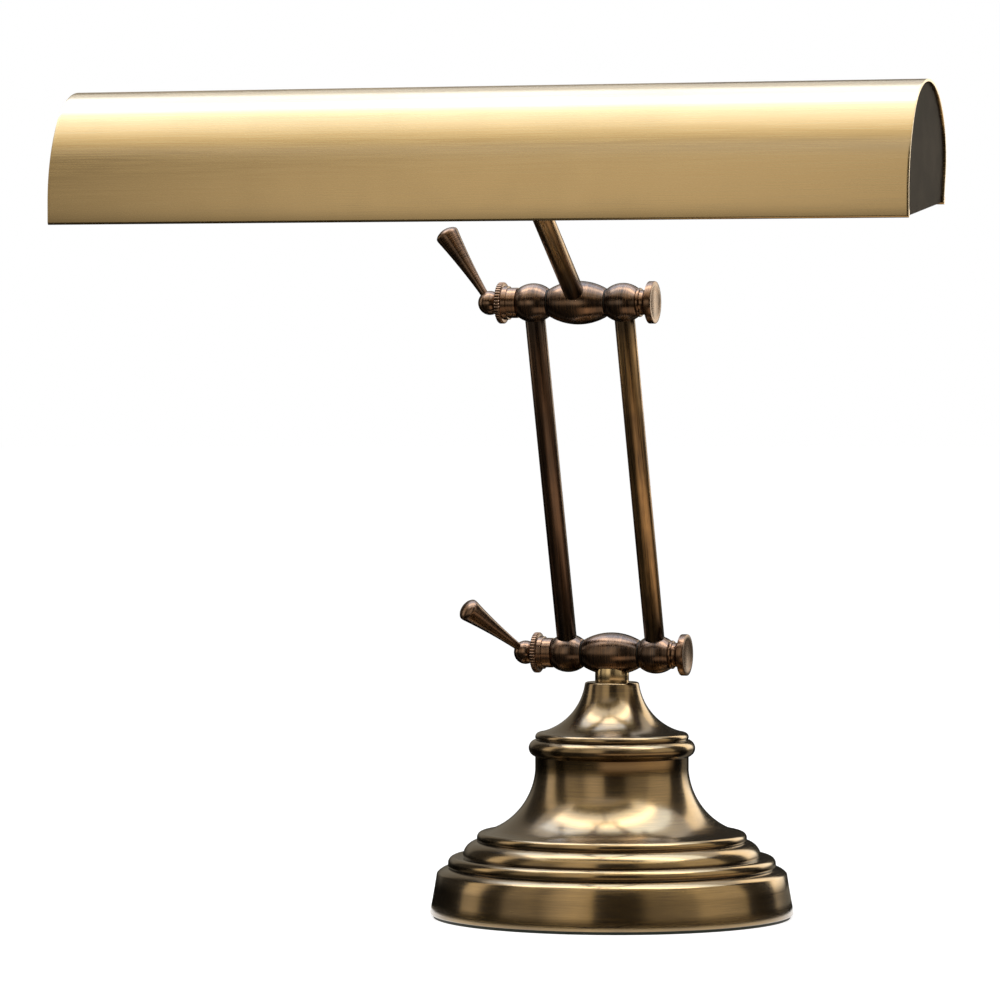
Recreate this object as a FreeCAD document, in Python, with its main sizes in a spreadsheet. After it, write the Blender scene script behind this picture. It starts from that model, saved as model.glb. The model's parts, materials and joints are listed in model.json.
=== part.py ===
import FreeCAD, Part
import os
import re
import Sketcher

# Piano lamp: a weighted stepped base, a bright swivel stud, two arm rods between
# two clamp barrels with lever handles, and a trough hood on a short rod.
# Frame: millimetres, +Z up, origin at the middle of the face it stands on,
# +X along the hood, which reaches forward over -Y.

# name, value, meaning. Angles are in degrees.
SIZES = (
    # base, from the floor up
    ("felt_thickness", 1.2, "felt under the base"),
    ("felt_inset", 1.4, "felt edge inside the foot's edge"),
    ("foot_radius", 78.2, "foot at its lowest edge"),
    ("foot_taper", 2.9, "how far the foot draws in"),
    ("foot_height", 18.7, "foot up to its shoulder"),
    ("foot_hollow", 0.1, "hollow of the foot's side"),
    ("shoulder_width", 5.4, "rounded shoulder, inwards"),
    ("shoulder_rise", 2.6, "rounded shoulder, upwards"),
    ("shoulder_swell", 0.7, "swell of the shoulder"),
    ("groove_depth", 0.6, "grooves between the rings"),
    ("ring1_height", 4.7, "lowest ring"),
    ("ring1_width", 6.95, "lowest ring's tread"),
    ("ring1_round", 2.8, "lowest ring's rounding"),
    ("ring2_height", 6.7, "middle ring"),
    ("ring2_width", 6.7, "middle ring's tread"),
    ("ring2_round", 6.2, "middle ring's rounding"),
    ("ring3_height", 3.8, "upper ring"),
    ("ring3_width", 6.05, "upper ring's tread"),
    ("ring3_round", 2.3, "upper ring's rounding"),
    ("ring3_rise", 0.9, "rise of the upper ring's tread"),
    ("bell_height", 25.7, "hollow bell"),
    ("bell_hollow", 4.6, "hollow of the bell's side"),
    ("waist_radius", 33.0, "waist over the bell"),
    ("waist_height", 5.9, "straight waist"),
    ("bead_height", 7.3, "half-round ring"),
    ("bead_swell", 3.1, "how far the half-round ring stands out"),
    ("lip_height", 3.0, "lip over the half-round ring"),
    ("lip_bevel", 1.9, "lip's upper edge"),
    ("cove_height", 20.8, "cove up to the neck"),
    ("cove_hollow", 4.45, "hollow of the cove"),
    ("neck_radius", 11.7, "neck at the top of the cove"),
    ("neck_edge", 0.9, "rounded edge of the neck's top"),
    ("shell_wall", 2.2, "wall of the base shell"),
    ("weight_gap", 0.5, "gap round the weight"),
    ("weight_hole", 14.0, "hole in the middle of the weight"),
    ("recess_radius", 54.0, "recess under the weight"),
    ("recess_depth", 9.0, "recess under the weight"),
    ("cord_bore", 2.7, "bore of the cord bushing"),
    ("cord_hole", 4.2, "hole in the shell for the bushing"),
    ("cord_lip", 5.6, "lips of the bushing"),
    ("cord_height", 9.4, "height of the bushing"),
    ("cord_lip_reach", 1.2, "how far its lips stand proud"),
    ("channel_gap", 1.0, "gap round the bushing in the weight"),
    ("channel_depth", 22.0, "how far the weight's channel reaches in"),
    # swivel stud
    ("collar_radius", 7.3, "bright collar"),
    ("collar_height", 6.0, "bright collar"),
    ("stud_radius", 5.0, "shank in the neck"),
    ("stud_end", 3.6, "shank past its nut"),
    ("thread_radius", 4.0, "thread in the lower bead"),
    ("thread_length", 1.4, "thread in the lower bead"),
    ("wire_radius", 2.6, "wire way in the shank"),
    ("wire_roof", 4.0, "metal over the wire way"),
    ("washer_radius", 9.4, "spring washer"),
    ("washer_thickness", 1.6, "spring washer"),
    ("nut_corner", 8.6, "stud nut's corners"),
    ("nut_height", 5.5, "stud nut"),
    # clamp barrels
    ("barrel_rise", 12.1, "lower barrel's axis over the neck"),
    ("knuckle_half", 12.4, "half of a middle bead"),
    ("knuckle_swell", 3.3, "middle bead's swell"),
    ("bead_end", 5.9, "beads at their ends"),
    ("friction_washer", 0.5, "washer between two beads"),
    ("side_length", 13.5, "outer bead"),
    ("side_swell", 2.35, "outer bead's swell"),
    ("bolt_radius", 3.0, "clamp bolt"),
    ("bolt_gap", 0.6, "bolt's end to the bottom of its bore"),
    ("fine_ring_radius", 6.1, "fine ring beside the disc"),
    ("fine_ring_length", 1.2, "fine ring beside the disc"),
    ("disc_neck_radius", 5.2, "neck under the disc"),
    ("disc_neck_length", 1.7, "neck under the disc"),
    ("disc_flare", 1.7, "flare under the disc"),
    ("disc_radius", 8.9, "disc"),
    ("disc_rim", 2.4, "rim of the disc"),
    ("disc_bevel", 0.4, "bevel of the rim"),
    # lever nuts and handles
    ("nut_neck_radius", 6.4, "lever nut's neck"),
    ("nut_neck_length", 3.9, "lever nut's neck"),
    ("nut_step_radius", 7.1, "step beside the knurled ring"),
    ("nut_step_length", 2.0, "step beside the knurled ring"),
    ("knurl_radius", 8.75, "knurled ring"),
    ("knurl_length", 2.4, "knurled ring"),
    ("knurl_bevel", 0.35, "knurled ring's edges"),
    ("knurl_depth", 0.45, "a knurl's groove"),
    ("knurl_count", 40, "grooves round the ring"),
    ("ball_radius", 5.1, "ball that holds the handle"),
    ("ball_sink", 0.9, "how far the ball sinks into the ring"),
    ("bore_floor", 1.2, "metal between the nut's bore and its ball"),
    ("handle_angle", 56.8, "handle from the barrel's axis"),
    ("handle_length", 37.0, "handle's end from the ball's middle"),
    ("handle_seat", 3.2, "handle's root from the ball's middle"),
    ("handle_root", 1.7, "handle at its root"),
    ("handle_shank", 1.0, "straight root outside the ball"),
    ("handle_radius", 5.0, "handle at its widest"),
    ("handle_hollow", 0.35, "hollow of the handle's side"),
    ("handle_rim", 1.0, "rim at the handle's end"),
    ("handle_bevel", 0.9, "bevel at the handle's end"),
    ("handle_dome", 1.2, "dome at the handle's end"),
    ("lower_handle_turn", 48.8, "lower handle, forward of upright"),
    ("upper_handle_turn", 1.4, "upper handle, forward of upright"),
    # arms and hood rod
    ("arm_span", 158.4, "between the two barrels' axes"),
    ("arm_lean", 18.55, "arms, forward of upright"),
    ("rod_radius", 4.3, "arm rods and hood rod"),
    ("rod_seat", 4.6, "rod's end from a barrel's axis"),
    ("rod_elevation", 34.2, "hood rod above level"),
    ("rod_reach", 105.0, "upper barrel's axis to the hood's back"),
    ("boss_radius", 11.0, "half-ball boss on the hood's back"),
    ("boss_seat", 4.5, "rod's end from the boss's middle"),
    # hood
    ("hood_length", 355.6, "hood"),
    ("hood_wall", 1.0, "hood sheet"),
    ("hem_height", 2.6, "folded hem"),
    ("front_skirt", 8.8, "straight front edge"),
    ("shoulder_curve", 57.0, "front shoulder's radius"),
    ("shoulder_sweep", 35.6, "front shoulder's turn"),
    ("crown_curve", 29.6, "crown's radius"),
    ("crown_sweep", 158.4, "crown's turn"),
    ("back_skirt", 11.1, "straight back edge"),
    ("seat_rise", 7.1, "boss above level, from the crown's middle"),
    ("end_inset", 0.9, "end plates inside the hood's ends"),
    ("end_thickness", 1.0, "end plates"),
    # lamp works under the hood
    ("lamp_depth", 31.0, "bulbs' axis behind the front edge"),
    ("lamp_rise", 27.0, "bulbs' axis over the front edge"),
    ("web_rise", 38.5, "top of the bracket over the front edge"),
    ("bracket_sheet", 1.4, "bracket sheet"),
    ("bracket_half", 12.0, "half of the bracket's width"),
    ("flange_half", 14.0, "half of a flange's depth"),
    ("flange_drop", 22.0, "flanges under the bracket's top"),
    ("pad_drop", 13.0, "pad against the hood's back"),
    ("pad_thickness", 3.6, "pad against the hood's back"),
    ("screw_radius", 1.5, "boss screws"),
    ("screw_head_radius", 2.8, "boss screws' heads"),
    ("screw_head_height", 1.8, "boss screws' heads"),
    ("screw_spread", 7.0, "boss screws from the middle"),
    ("screw_length", 8.5, "boss screws under the head"),
    ("socket_radius", 13.0, "lampholders"),
    ("socket_length", 32.0, "lampholders"),
    ("socket_round", 2.0, "lampholders' rounded edges"),
    ("socket_floor", 6.0, "lampholders' floor"),
    ("spigot_radius", 4.0, "lampholders' spigot in the bracket"),
    ("cap_radius", 8.2, "bulb caps"),
    ("cap_play", 0.3, "bulb caps in their lampholders"),
    ("cap_nose", 4.5, "bulb caps' taper"),
    ("cap_contact", 3.0, "bulb caps' end contact"),
    ("cap_rim", 1.0, "bulb caps outside the lampholders"),
    ("bulb_radius", 12.5, "bulbs"),
    ("bulb_length", 114.0, "bulbs' glass"),
    ("bulb_neck", 11.0, "bulbs' neck"),
    ("bulb_tip", 9.0, "bulbs' rounded tip"),
    ("bulb_wall", 1.0, "bulbs' glass wall"),
    ("switch_radius", 8.6, "switch body"),
    ("switch_height", 14.0, "switch body"),
    ("spindle_radius", 2.5, "switch spindle"),
    ("spindle_inside", 5.0, "spindle in the switch body"),
    ("spindle_shows", 3.0, "spindle between body and knob"),
    ("spindle_in_knob", 7.0, "spindle in the knob"),
    ("knob_radius", 6.2, "switch knob"),
    ("knob_taper", 1.0, "how far the knob draws in"),
    ("knob_height", 11.0, "switch knob"),
    ("knob_round", 1.2, "knob's rounded end"),
    ("flute_count", 12, "flutes round the knob"),
    ("flute_radius", 1.0, "a flute"),
    # fits
    ("running_fit", 0.08, "radial play of a turning fit"),
    ("seat_fit", 0.03, "radial play of a fixed fit"),
)

doc = FreeCAD.newDocument("piano_lamp")
sheet = doc.addObject("Spreadsheet::Sheet", "Dims")
for row, (alias, value, meaning) in enumerate(SIZES, start=1):
    sheet.set("A%d" % row, str(value))
    sheet.set("B%d" % row, meaning)
    sheet.setAlias("A%d" % row, alias)
doc.recompute()

ALIASES = {alias for alias, value, meaning in SIZES}
parts = []


# ---- expressions over the sheet ------------------------------------------------

def dims(text):
    """The text with each size's name pointing into the sheet."""
    def look_up(match):
        word = match.group(0)
        return "Dims." + word if word in ALIASES else word
    return re.sub(r"[A-Za-z_][A-Za-z_0-9]*", look_up, str(text))


def size(text):
    """The value that an expression has now."""
    return float(sheet.evalExpression(dims(text)))


def add(*terms):
    """A sum of terms, in brackets."""
    return "(" + " + ".join("(%s)" % term for term in terms) + ")"


def less(first, *terms):
    """The first term less the others, in brackets."""
    return "((%s)" % first + "".join(" - (%s)" % term for term in terms) + ")"


def swell_radius(start, end, swell):
    """Radius of an arc that stands out by swell over the chord from start to end."""
    across = less(end[0], start[0])
    along = less(end[1], start[1])
    return "((%s^2 + %s^2) / 4 + (%s)^2) / (2 * (%s))" % (across, along, swell, swell)


# ---- frames ---------------------------------------------------------------------

def shift(x, y, z):
    """A frame moved without turning."""
    return "placement(vector(%s; %s; %s); rotation(vector(0; 0; 1); 0))" % (dims(x), dims(y), dims(z))


def turn(axis, angle):
    """A frame turned about its X, Y or Z."""
    vector = {"X": "vector(1; 0; 0)", "Y": "vector(0; 1; 0)", "Z": "vector(0; 0; 1)"}[axis]
    return "placement(vector(0; 0; 0); rotation(%s; %s))" % (vector, dims(angle))


def within(*frames):
    """Frames one after another, each in the one before."""
    return " * ".join(frames)


# ---- building blocks --------------------------------------------------------------

def origin_item(body, role):
    """A body's own plane or axis."""
    return next(item for item in body.Origin.OriginFeatures if item.Role == role)


def new_body(label, frame):
    """An empty body in its frame."""
    body = doc.addObject("PartDesign::Body", label)
    body.setExpression("Placement", frame)
    return body


def keep(item, label):
    """Names a finished sub-part and lists it for writing."""
    item.Label = label
    parts.append(item)
    return item


def edge_between(start, end, step):
    """A line, or an arc that runs clockwise or counter-clockwise, and its two ends' numbers."""
    first = FreeCAD.Vector(size(start[0]), size(start[1]), 0)
    last = FreeCAD.Vector(size(end[0]), size(end[1]), 0)
    if step[0] == "line":
        return Part.LineSegment(first, last), 1, 2
    radius = size(step[3])
    chord = last - first
    side = FreeCAD.Vector(-chord.y, chord.x, 0).normalize()
    back = max(radius ** 2 - (chord.Length / 2) ** 2, 0) ** 0.5
    counter = step[0] == "counter"
    centre = (first + last) / 2 + side * (back if counter else -back)
    circle = Part.Circle(centre, FreeCAD.Vector(0, 0, 1), radius)
    ends = (first, last) if counter else (last, first)
    arc = Part.ArcOfCircle(circle, circle.parameter(ends[0]), circle.parameter(ends[1]))
    return (arc, 1, 2) if counter else (arc, 2, 1)


def pin(sketch, edge, end, point):
    """Holds one end of an edge at a point given by expressions."""
    for kind, text, axis in (("DistanceX", point[0], -2), ("DistanceY", point[1], -1)):
        if abs(size(text)) < 1e-9:
            sketch.addConstraint(Sketcher.Constraint("PointOnObject", edge, end, axis))
            continue
        held = Sketcher.Constraint(kind, -1, 1, edge, end, size(text))
        sketch.setExpression("Constraints[%d]" % sketch.addConstraint(held), dims(text))


def draw(body, role, *outlines):
    """A sketch of closed outlines. Each is a start point, then ("line", x, y) or
    ("clockwise" or "counter", x, y, radius); a line closes it."""
    sketch = body.newObject("Sketcher::SketchObject", body.Name + "_outline")
    sketch.AttachmentSupport = [(origin_item(body, role), "")]
    sketch.MapMode = "FlatFace"
    for start, *steps in outlines:
        points = [start] + [step[1:3] for step in steps]
        steps = steps + [("line",)]
        ends = []
        for place, step in enumerate(steps):
            following = points[(place + 1) % len(points)]
            geometry, tail, head = edge_between(points[place], following, step)
            edge = sketch.addGeometry(geometry)
            ends.append((edge, tail, head))
            pin(sketch, edge, tail, points[place])
            if step[0] != "line":
                held = Sketcher.Constraint("Radius", edge, size(step[3]))
                sketch.setExpression("Constraints[%d]" % sketch.addConstraint(held), dims(step[3]))
        for (edge, tail, head), (next_edge, next_tail, next_head) in zip(ends, ends[1:] + ends[:1]):
            sketch.addConstraint(Sketcher.Constraint("Coincident", edge, head, next_edge, next_tail))
    return sketch


def turned(label, frame, axis, *outlines):
    """A body turned about its Z ("V_Axis") or its X ("H_Axis")."""
    body = new_body(label, frame)
    body.AllowCompound = True
    sketch = draw(body, "XZ_Plane", *outlines)
    solid = body.newObject("PartDesign::Revolution", label + "_turned")
    solid.Profile = sketch
    solid.ReferenceAxis = (sketch, [axis])
    solid.Angle = 360
    return body


def padded(label, frame, length, outline):
    """A body pulled along X from its YZ plane, half to each side."""
    body = new_body(label, frame)
    pad = body.newObject("PartDesign::Pad", label + "_pad")
    pad.Profile = draw(body, "YZ_Plane", outline)
    pad.SideType = "Symmetric"
    pad.setExpression("Length", dims(length))
    return body


def primitive(body, kind, frame, **sizes):
    """A PartDesign primitive in the body's frame, its sizes bound to the sheet."""
    item = body.newObject("PartDesign::" + kind, body.Name + "_" + kind)
    for name, text in sizes.items():
        item.setExpression(name, dims(text))
    item.setExpression("Placement", frame)
    return item


def bore(body, frame, radius, depth):
    """A round hole along the frame's Z."""
    return primitive(body, "SubtractiveCylinder", frame, Radius=radius, Height=depth)


def round_pattern(body, feature, role, count):
    """Copies of a feature round the body's own axis."""
    pattern = body.newObject("PartDesign::PolarPattern", body.Name + "_pattern")
    pattern.Originals = [feature]
    pattern.Axis = (origin_item(body, role), [""])
    pattern.Angle = 360
    pattern.setExpression("Occurrences", dims(count))
    body.Tip = pattern
    return pattern


def boolean(kind, label, base, tool):
    """A Part::Cut or Part::Common of two objects."""
    item = doc.addObject("Part::" + kind, label)
    item.Base = base
    item.Tool = tool
    return item


# ---- places worked out from the sizes ----------------------------------------------

# base outline, from the floor up
FOOT_UPPER = less("foot_radius", "foot_taper")
GROOVE1 = (less(FOOT_UPPER, "shoulder_width"), add("foot_height", "shoulder_rise"))
RING1 = add(GROOVE1[0], "groove_depth")
RING1_TOP = add(GROOVE1[1], "ring1_height")
GROOVE2 = (less(RING1, "ring1_width"), less(RING1_TOP, "groove_depth"))
RING2 = add(GROOVE2[0], "groove_depth")
RING2_TOP = add(RING1_TOP, "ring2_height")
GROOVE3 = (less(RING2, "ring2_width"), less(RING2_TOP, "groove_depth"))
RING3 = add(GROOVE3[0], "groove_depth")
RING3_TOP = add(RING2_TOP, "ring3_height")
BELL_FOOT = (less(RING3, "ring3_width"), add(RING3_TOP, "ring3_rise"))
BELL_TOP = add(BELL_FOOT[1], "bell_height")
WAIST_TOP = add(BELL_TOP, "waist_height")
BEAD_TOP = add(WAIST_TOP, "bead_height")
LIP_TOP = add(BEAD_TOP, "lip_height")
COVE_TOP = add(LIP_TOP, "cove_height")
NECK_TOP = add(COVE_TOP, "neck_edge")

# hollow of the base
FOOT_BORE = less(FOOT_UPPER, "shell_wall")
LEDGE_BORE = less(RING1, "shell_wall", "0.3 * ring1_round")
LEDGE_TOP = less(RING1_TOP, "groove_depth", "shell_wall")
RING_BORE = less(RING3, "shell_wall")
RING_ROOF = less(RING3_TOP, "shell_wall")
BELL_BORE = less(BELL_FOOT[0], "shell_wall")
NECK_FLOOR = less(LIP_TOP, "shell_wall")
WASHER_FLOOR = less(NECK_FLOOR, "washer_thickness")
NUT_FLOOR = less(WASHER_FLOOR, "nut_height")
STUD_FLOOR = less(NUT_FLOOR, "stud_end")

# clamp barrels, outwards from the lamp's middle
WASHER_END = add("knuckle_half", "friction_washer")
SIDE_END = add(WASHER_END, "side_length")
ARM_PLACE = add(WASHER_END, "side_length / 2")
SIDE_REACH = add("bead_end", "side_swell")
KNUCKLE_REACH = add("bead_end", "knuckle_swell")
NUT_STEP = add(SIDE_END, "nut_neck_length")
KNURL_START = add(NUT_STEP, "nut_step_length")
KNURL_END = add(KNURL_START, "knurl_length")
BALL_PLACE = less(add(KNURL_END, "ball_radius"), "ball_sink")
THREAD_END = less(KNURL_END, "bore_floor")
BOLT_END = less(THREAD_END, "bolt_gap")

# hood outline: depth behind the front edge, height over it
SWEPT = add("shoulder_sweep", "crown_sweep")
CROWN_SHIFT = less("shoulder_curve", "crown_curve")
CROWN_MIDDLE = (less("shoulder_curve", "%s * cos(shoulder_sweep)" % CROWN_SHIFT),
                add("front_skirt", "%s * sin(shoulder_sweep)" % CROWN_SHIFT))
SEAT = (add(CROWN_MIDDLE[0], "crown_curve * cos(seat_rise)"),
        add(CROWN_MIDDLE[1], "crown_curve * sin(seat_rise)"))


def hood_corner(place, inset):
    """A corner of the hood's outline, moved inwards: 0 front edge, 1 shoulder start,
    2 crown start, 3 crown end, 4 back edge."""
    if place < 2:
        return (inset, ("0", "front_skirt")[place])
    sweep = "shoulder_sweep" if place == 2 else SWEPT
    radius = less("crown_curve", inset)
    corner = (less(CROWN_MIDDLE[0], "%s * cos(%s)" % (radius, sweep)),
              add(CROWN_MIDDLE[1], "%s * sin(%s)" % (radius, sweep)))
    if place < 4:
        return corner
    return (add(corner[0], "back_skirt * sin(%s)" % SWEPT),
            add(corner[1], "back_skirt * cos(%s)" % SWEPT))


def back_point(inset, height):
    """A point on the straight back edge, height above its end."""
    corner = hood_corner(4, inset)
    return (less(corner[0], "%s * sin(%s)" % (height, SWEPT)),
            less(corner[1], "%s * cos(%s)" % (height, SWEPT)))


def hood_rise(inset):
    """The hood's outline from the shoulder's start to the back edge."""
    return [("clockwise", *hood_corner(2, inset), less("shoulder_curve", inset)),
            ("clockwise", *hood_corner(3, inset), less("crown_curve", inset)),
            ("line", *hood_corner(4, inset))]


def hood_fall(inset):
    """The same outline the other way, from the back edge to the shoulder's start."""
    return [("line", *hood_corner(3, inset)),
            ("counter", *hood_corner(2, inset), less("crown_curve", inset)),
            ("counter", *hood_corner(1, inset), less("shoulder_curve", inset))]


# ---- frames of the moving groups -----------------------------------------------------

BASE = shift("0", "0", "0")
AXIS_HEIGHT = add(NECK_TOP, "barrel_rise")
LOWER = shift("0", "0", AXIS_HEIGHT)
ARM = within(LOWER, turn("X", "arm_lean"))
ARM_TOP = within(ARM, shift("0", "0", "arm_span"))
UPPER = within(ARM_TOP, turn("X", "-arm_lean"))
ROD = within(UPPER, turn("X", "90 - rod_elevation"))
BOSS = within(ROD, shift("0", "0", "rod_reach"), turn("X", "rod_elevation - 90"))
HOOD = within(BOSS, shift("0", "-" + SEAT[0], "-" + SEAT[1]))
LAMPS = within(HOOD, shift("0", "lamp_depth", "lamp_rise"))
HALF_TURN = turn("Z", "180")


# ---- base ------------------------------------------------------------------------------

def base_shell():
    """Stepped foot, hollow bell, half-round ring, cove and neck, hollow underneath."""
    foot = ("foot_radius", "felt_thickness")
    foot_top = (FOOT_UPPER, "foot_height")
    ring2_start = (RING2, add(RING1_TOP, "groove_depth"))
    ring2_end = (less(RING2, "ring2_round"), RING2_TOP)
    ring2_swell = "0.24 * ring2_round"
    bell_top = ("waist_radius", BELL_TOP)
    inner_top = (less("waist_radius", "shell_wall"), BELL_TOP)
    inner_foot = (BELL_BORE, RING_ROOF)
    bead_start = ("waist_radius", WAIST_TOP)
    bead_end = (less("waist_radius", "groove_depth"), BEAD_TOP)
    cove_start = (less("waist_radius", "lip_bevel"), LIP_TOP)
    cove_end = ("neck_radius", COVE_TOP)
    neck_end = (less("neck_radius", "neck_edge"), NECK_TOP)
    stud_bore = add("stud_radius", "running_fit")
    outline = [
        foot,
        ("clockwise", *foot_top, swell_radius(foot, foot_top, "foot_hollow")),
        ("counter", *GROOVE1, swell_radius(foot_top, GROOVE1, "shoulder_swell")),
        ("line", RING1, add(GROOVE1[1], "groove_depth")),
        ("line", RING1, less(RING1_TOP, "ring1_round")),
        ("counter", less(RING1, "ring1_round"), RING1_TOP, "ring1_round"),
        ("line", *GROOVE2),
        ("line", *ring2_start),
        ("counter", *ring2_end, swell_radius(ring2_start, ring2_end, ring2_swell)),
        ("line", *GROOVE3),
        ("line", RING3, add(RING2_TOP, "groove_depth")),
        ("line", RING3, less(RING3_TOP, "ring3_round")),
        ("counter", less(RING3, "ring3_round"), RING3_TOP, "ring3_round"),
        ("line", *BELL_FOOT),
        ("clockwise", *bell_top, swell_radius(BELL_FOOT, bell_top, "bell_hollow")),
        ("line", *bead_start),
        ("counter", *bead_end, swell_radius(bead_start, bead_end, "bead_swell")),
        ("line", "waist_radius", add(BEAD_TOP, "groove_depth")),
        ("line", "waist_radius", less(LIP_TOP, "lip_bevel")),
        ("counter", *cove_start, "lip_bevel"),
        ("clockwise", *cove_end, swell_radius(cove_start, cove_end, "cove_hollow")),
        ("counter", *neck_end, swell_radius(cove_end, neck_end, "0.25 * neck_edge")),
        ("line", stud_bore, NECK_TOP),
        ("line", stud_bore, NECK_FLOOR),
        ("line", less("waist_radius", "shell_wall"), NECK_FLOOR),
        ("line", *inner_top),
        ("counter", *inner_foot, swell_radius(inner_top, inner_foot, "bell_hollow")),
        ("line", RING_BORE, RING_ROOF),
        ("line", RING_BORE, LEDGE_TOP),
        ("line", LEDGE_BORE, LEDGE_TOP),
        ("line", LEDGE_BORE, "foot_height"),
        ("line", FOOT_BORE, "foot_height"),
        ("line", FOOT_BORE, "felt_thickness"),
    ]
    shell = turned("base_shell", BASE, "V_Axis", outline)
    bore(shell, within(shift("0", "0", "cord_height"), turn("X", "-90")), "cord_hole", "foot_radius")
    return keep(shell, "base_shell")


def base_weight():
    """Iron weight against the shell's ledge, dished below, with a channel for the cord."""
    edge = less(FOOT_BORE, "weight_gap")
    recess_top = add("felt_thickness", "recess_depth")
    weight = turned("base_weight", BASE, "V_Axis", [
        ("weight_hole", recess_top),
        ("line", "recess_radius", recess_top),
        ("line", "recess_radius", "felt_thickness"),
        ("line", edge, "felt_thickness"),
        ("line", edge, "foot_height"),
        ("line", "weight_hole", "foot_height"),
    ])
    half = add("cord_lip", "channel_gap")
    primitive(weight, "SubtractiveBox", shift("-" + half, less(edge, "channel_depth"), "0"),
              Length="2 * " + half, Width="2 * channel_depth", Height=add("cord_height", half))
    keep(weight, "base_weight")


def cord_bushing(shell):
    """A grommet with a lip on each side of the shell."""
    start = less(FOOT_BORE, "cord_lip_reach")
    length = add(less("foot_radius", start), "cord_lip_reach", "-foot_taper / 2")
    frame = within(shift("0", start, "cord_height"), turn("X", "-90"))
    blank = new_body("bushing_blank", frame)
    primitive(blank, "AdditiveCylinder", BASE, Radius="cord_lip", Height=length)
    bore(blank, BASE, "cord_bore", length)
    keep(boolean("Cut", "cord_bushing", blank, shell), "cord_bushing")


def felt_pad():
    """A full disc, flush under the weight and the shell's rim."""
    felt = new_body("felt_pad", BASE)
    radius = less("foot_radius", "felt_inset")
    primitive(felt, "AdditiveCylinder", BASE, Radius=radius, Height="felt_thickness")
    keep(felt, "felt_pad")


# ---- swivel ------------------------------------------------------------------------------

def swivel_stud():
    """Bright collar with a shank down through the neck and a thread up into the lower bead."""
    collar_top = add(NECK_TOP, "collar_height")
    thread_top = add(collar_top, "thread_length")
    wire_top = less(NECK_TOP, "wire_roof")
    stud = turned("swivel_stud", BASE, "V_Axis", [
        ("wire_radius", STUD_FLOOR),
        ("line", "stud_radius", STUD_FLOOR),
        ("line", "stud_radius", NECK_TOP),
        ("line", "collar_radius", NECK_TOP),
        ("line", "collar_radius", collar_top),
        ("line", "thread_radius", collar_top),
        ("line", "thread_radius", thread_top),
        ("line", "0", thread_top),
        ("line", "0", wire_top),
        ("line", "wire_radius", wire_top),
    ])
    keep(stud, "swivel_stud")


def swivel_washer():
    """Spring washer under the neck."""
    inner = add("stud_radius", "seat_fit")
    washer = turned("swivel_washer", BASE, "V_Axis", [
        (inner, WASHER_FLOOR),
        ("line", "washer_radius", WASHER_FLOOR),
        ("line", "washer_radius", NECK_FLOOR),
        ("line", inner, NECK_FLOOR),
    ])
    keep(washer, "swivel_washer")


def swivel_nut():
    """Hexagon nut that holds the stud down."""
    frame = shift("0", "0", NUT_FLOOR)
    nut = new_body("swivel_nut", BASE)
    primitive(nut, "AdditivePrism", frame, Circumradius="nut_corner", Height="nut_height")
    bore(nut, frame, add("stud_radius", "seat_fit"), "nut_height")
    keep(nut, "swivel_nut")


# ---- clamp barrels -------------------------------------------------------------------------

def middle_bead(label, frame):
    """A barrel-shaped bead that the clamp bolt runs through."""
    hole = add("bolt_radius", "running_fit")
    start = ("-knuckle_half", "bead_end")
    end = ("knuckle_half", "bead_end")
    return turned(label, frame, "H_Axis", [
        ("-knuckle_half", hole),
        ("line", *start),
        ("clockwise", *end, swell_radius(start, end, "knuckle_swell")),
        ("line", "knuckle_half", hole),
    ])


def lower_knuckle():
    """Middle bead on the stud, sunk over its collar."""
    bead = middle_bead("lower_knuckle", LOWER)
    neck = shift("0", "0", "-barrel_rise")
    bore(bead, neck, add("collar_radius", "seat_fit"), "collar_height")
    bore(bead, neck, add("thread_radius", "seat_fit"), add("collar_height", "thread_length"))
    keep(bead, "lower_knuckle")


def upper_knuckle():
    """Middle bead that carries the hood's rod."""
    bead = middle_bead("upper_knuckle", ROD)
    bore(bead, shift("0", "0", "rod_seat"), add("rod_radius", "seat_fit"), KNUCKLE_REACH)
    keep(bead, "upper_knuckle")


def side_bead(label, frame, rod_up):
    """An outer bead with a socket for its arm rod."""
    hole = add("bolt_radius", "seat_fit")
    start = (WASHER_END, "bead_end")
    end = (SIDE_END, "bead_end")
    bead = turned(label, frame, "H_Axis", [
        (WASHER_END, hole),
        ("line", *start),
        ("clockwise", *end, swell_radius(start, end, "side_swell")),
        ("line", SIDE_END, hole),
    ])
    way = turn("X", "0" if rod_up else "180")
    bore(bead, within(shift(ARM_PLACE, "0", "0"), way, shift("0", "0", "rod_seat")),
         add("rod_radius", "seat_fit"), SIDE_REACH)
    keep(bead, label)


def friction_washers(label, frame):
    """One washer on each side of a middle bead."""
    inner = add("bolt_radius", "running_fit")
    rings = []
    for sign in ("", "-"):
        near = sign + "knuckle_half"
        far = sign + WASHER_END
        rings.append([
            (near, inner),
            ("line", near, "bead_end"),
            ("line", far, "bead_end"),
            ("line", far, inner),
        ])
    keep(turned(label, frame, "H_Axis", *rings), label)


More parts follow.
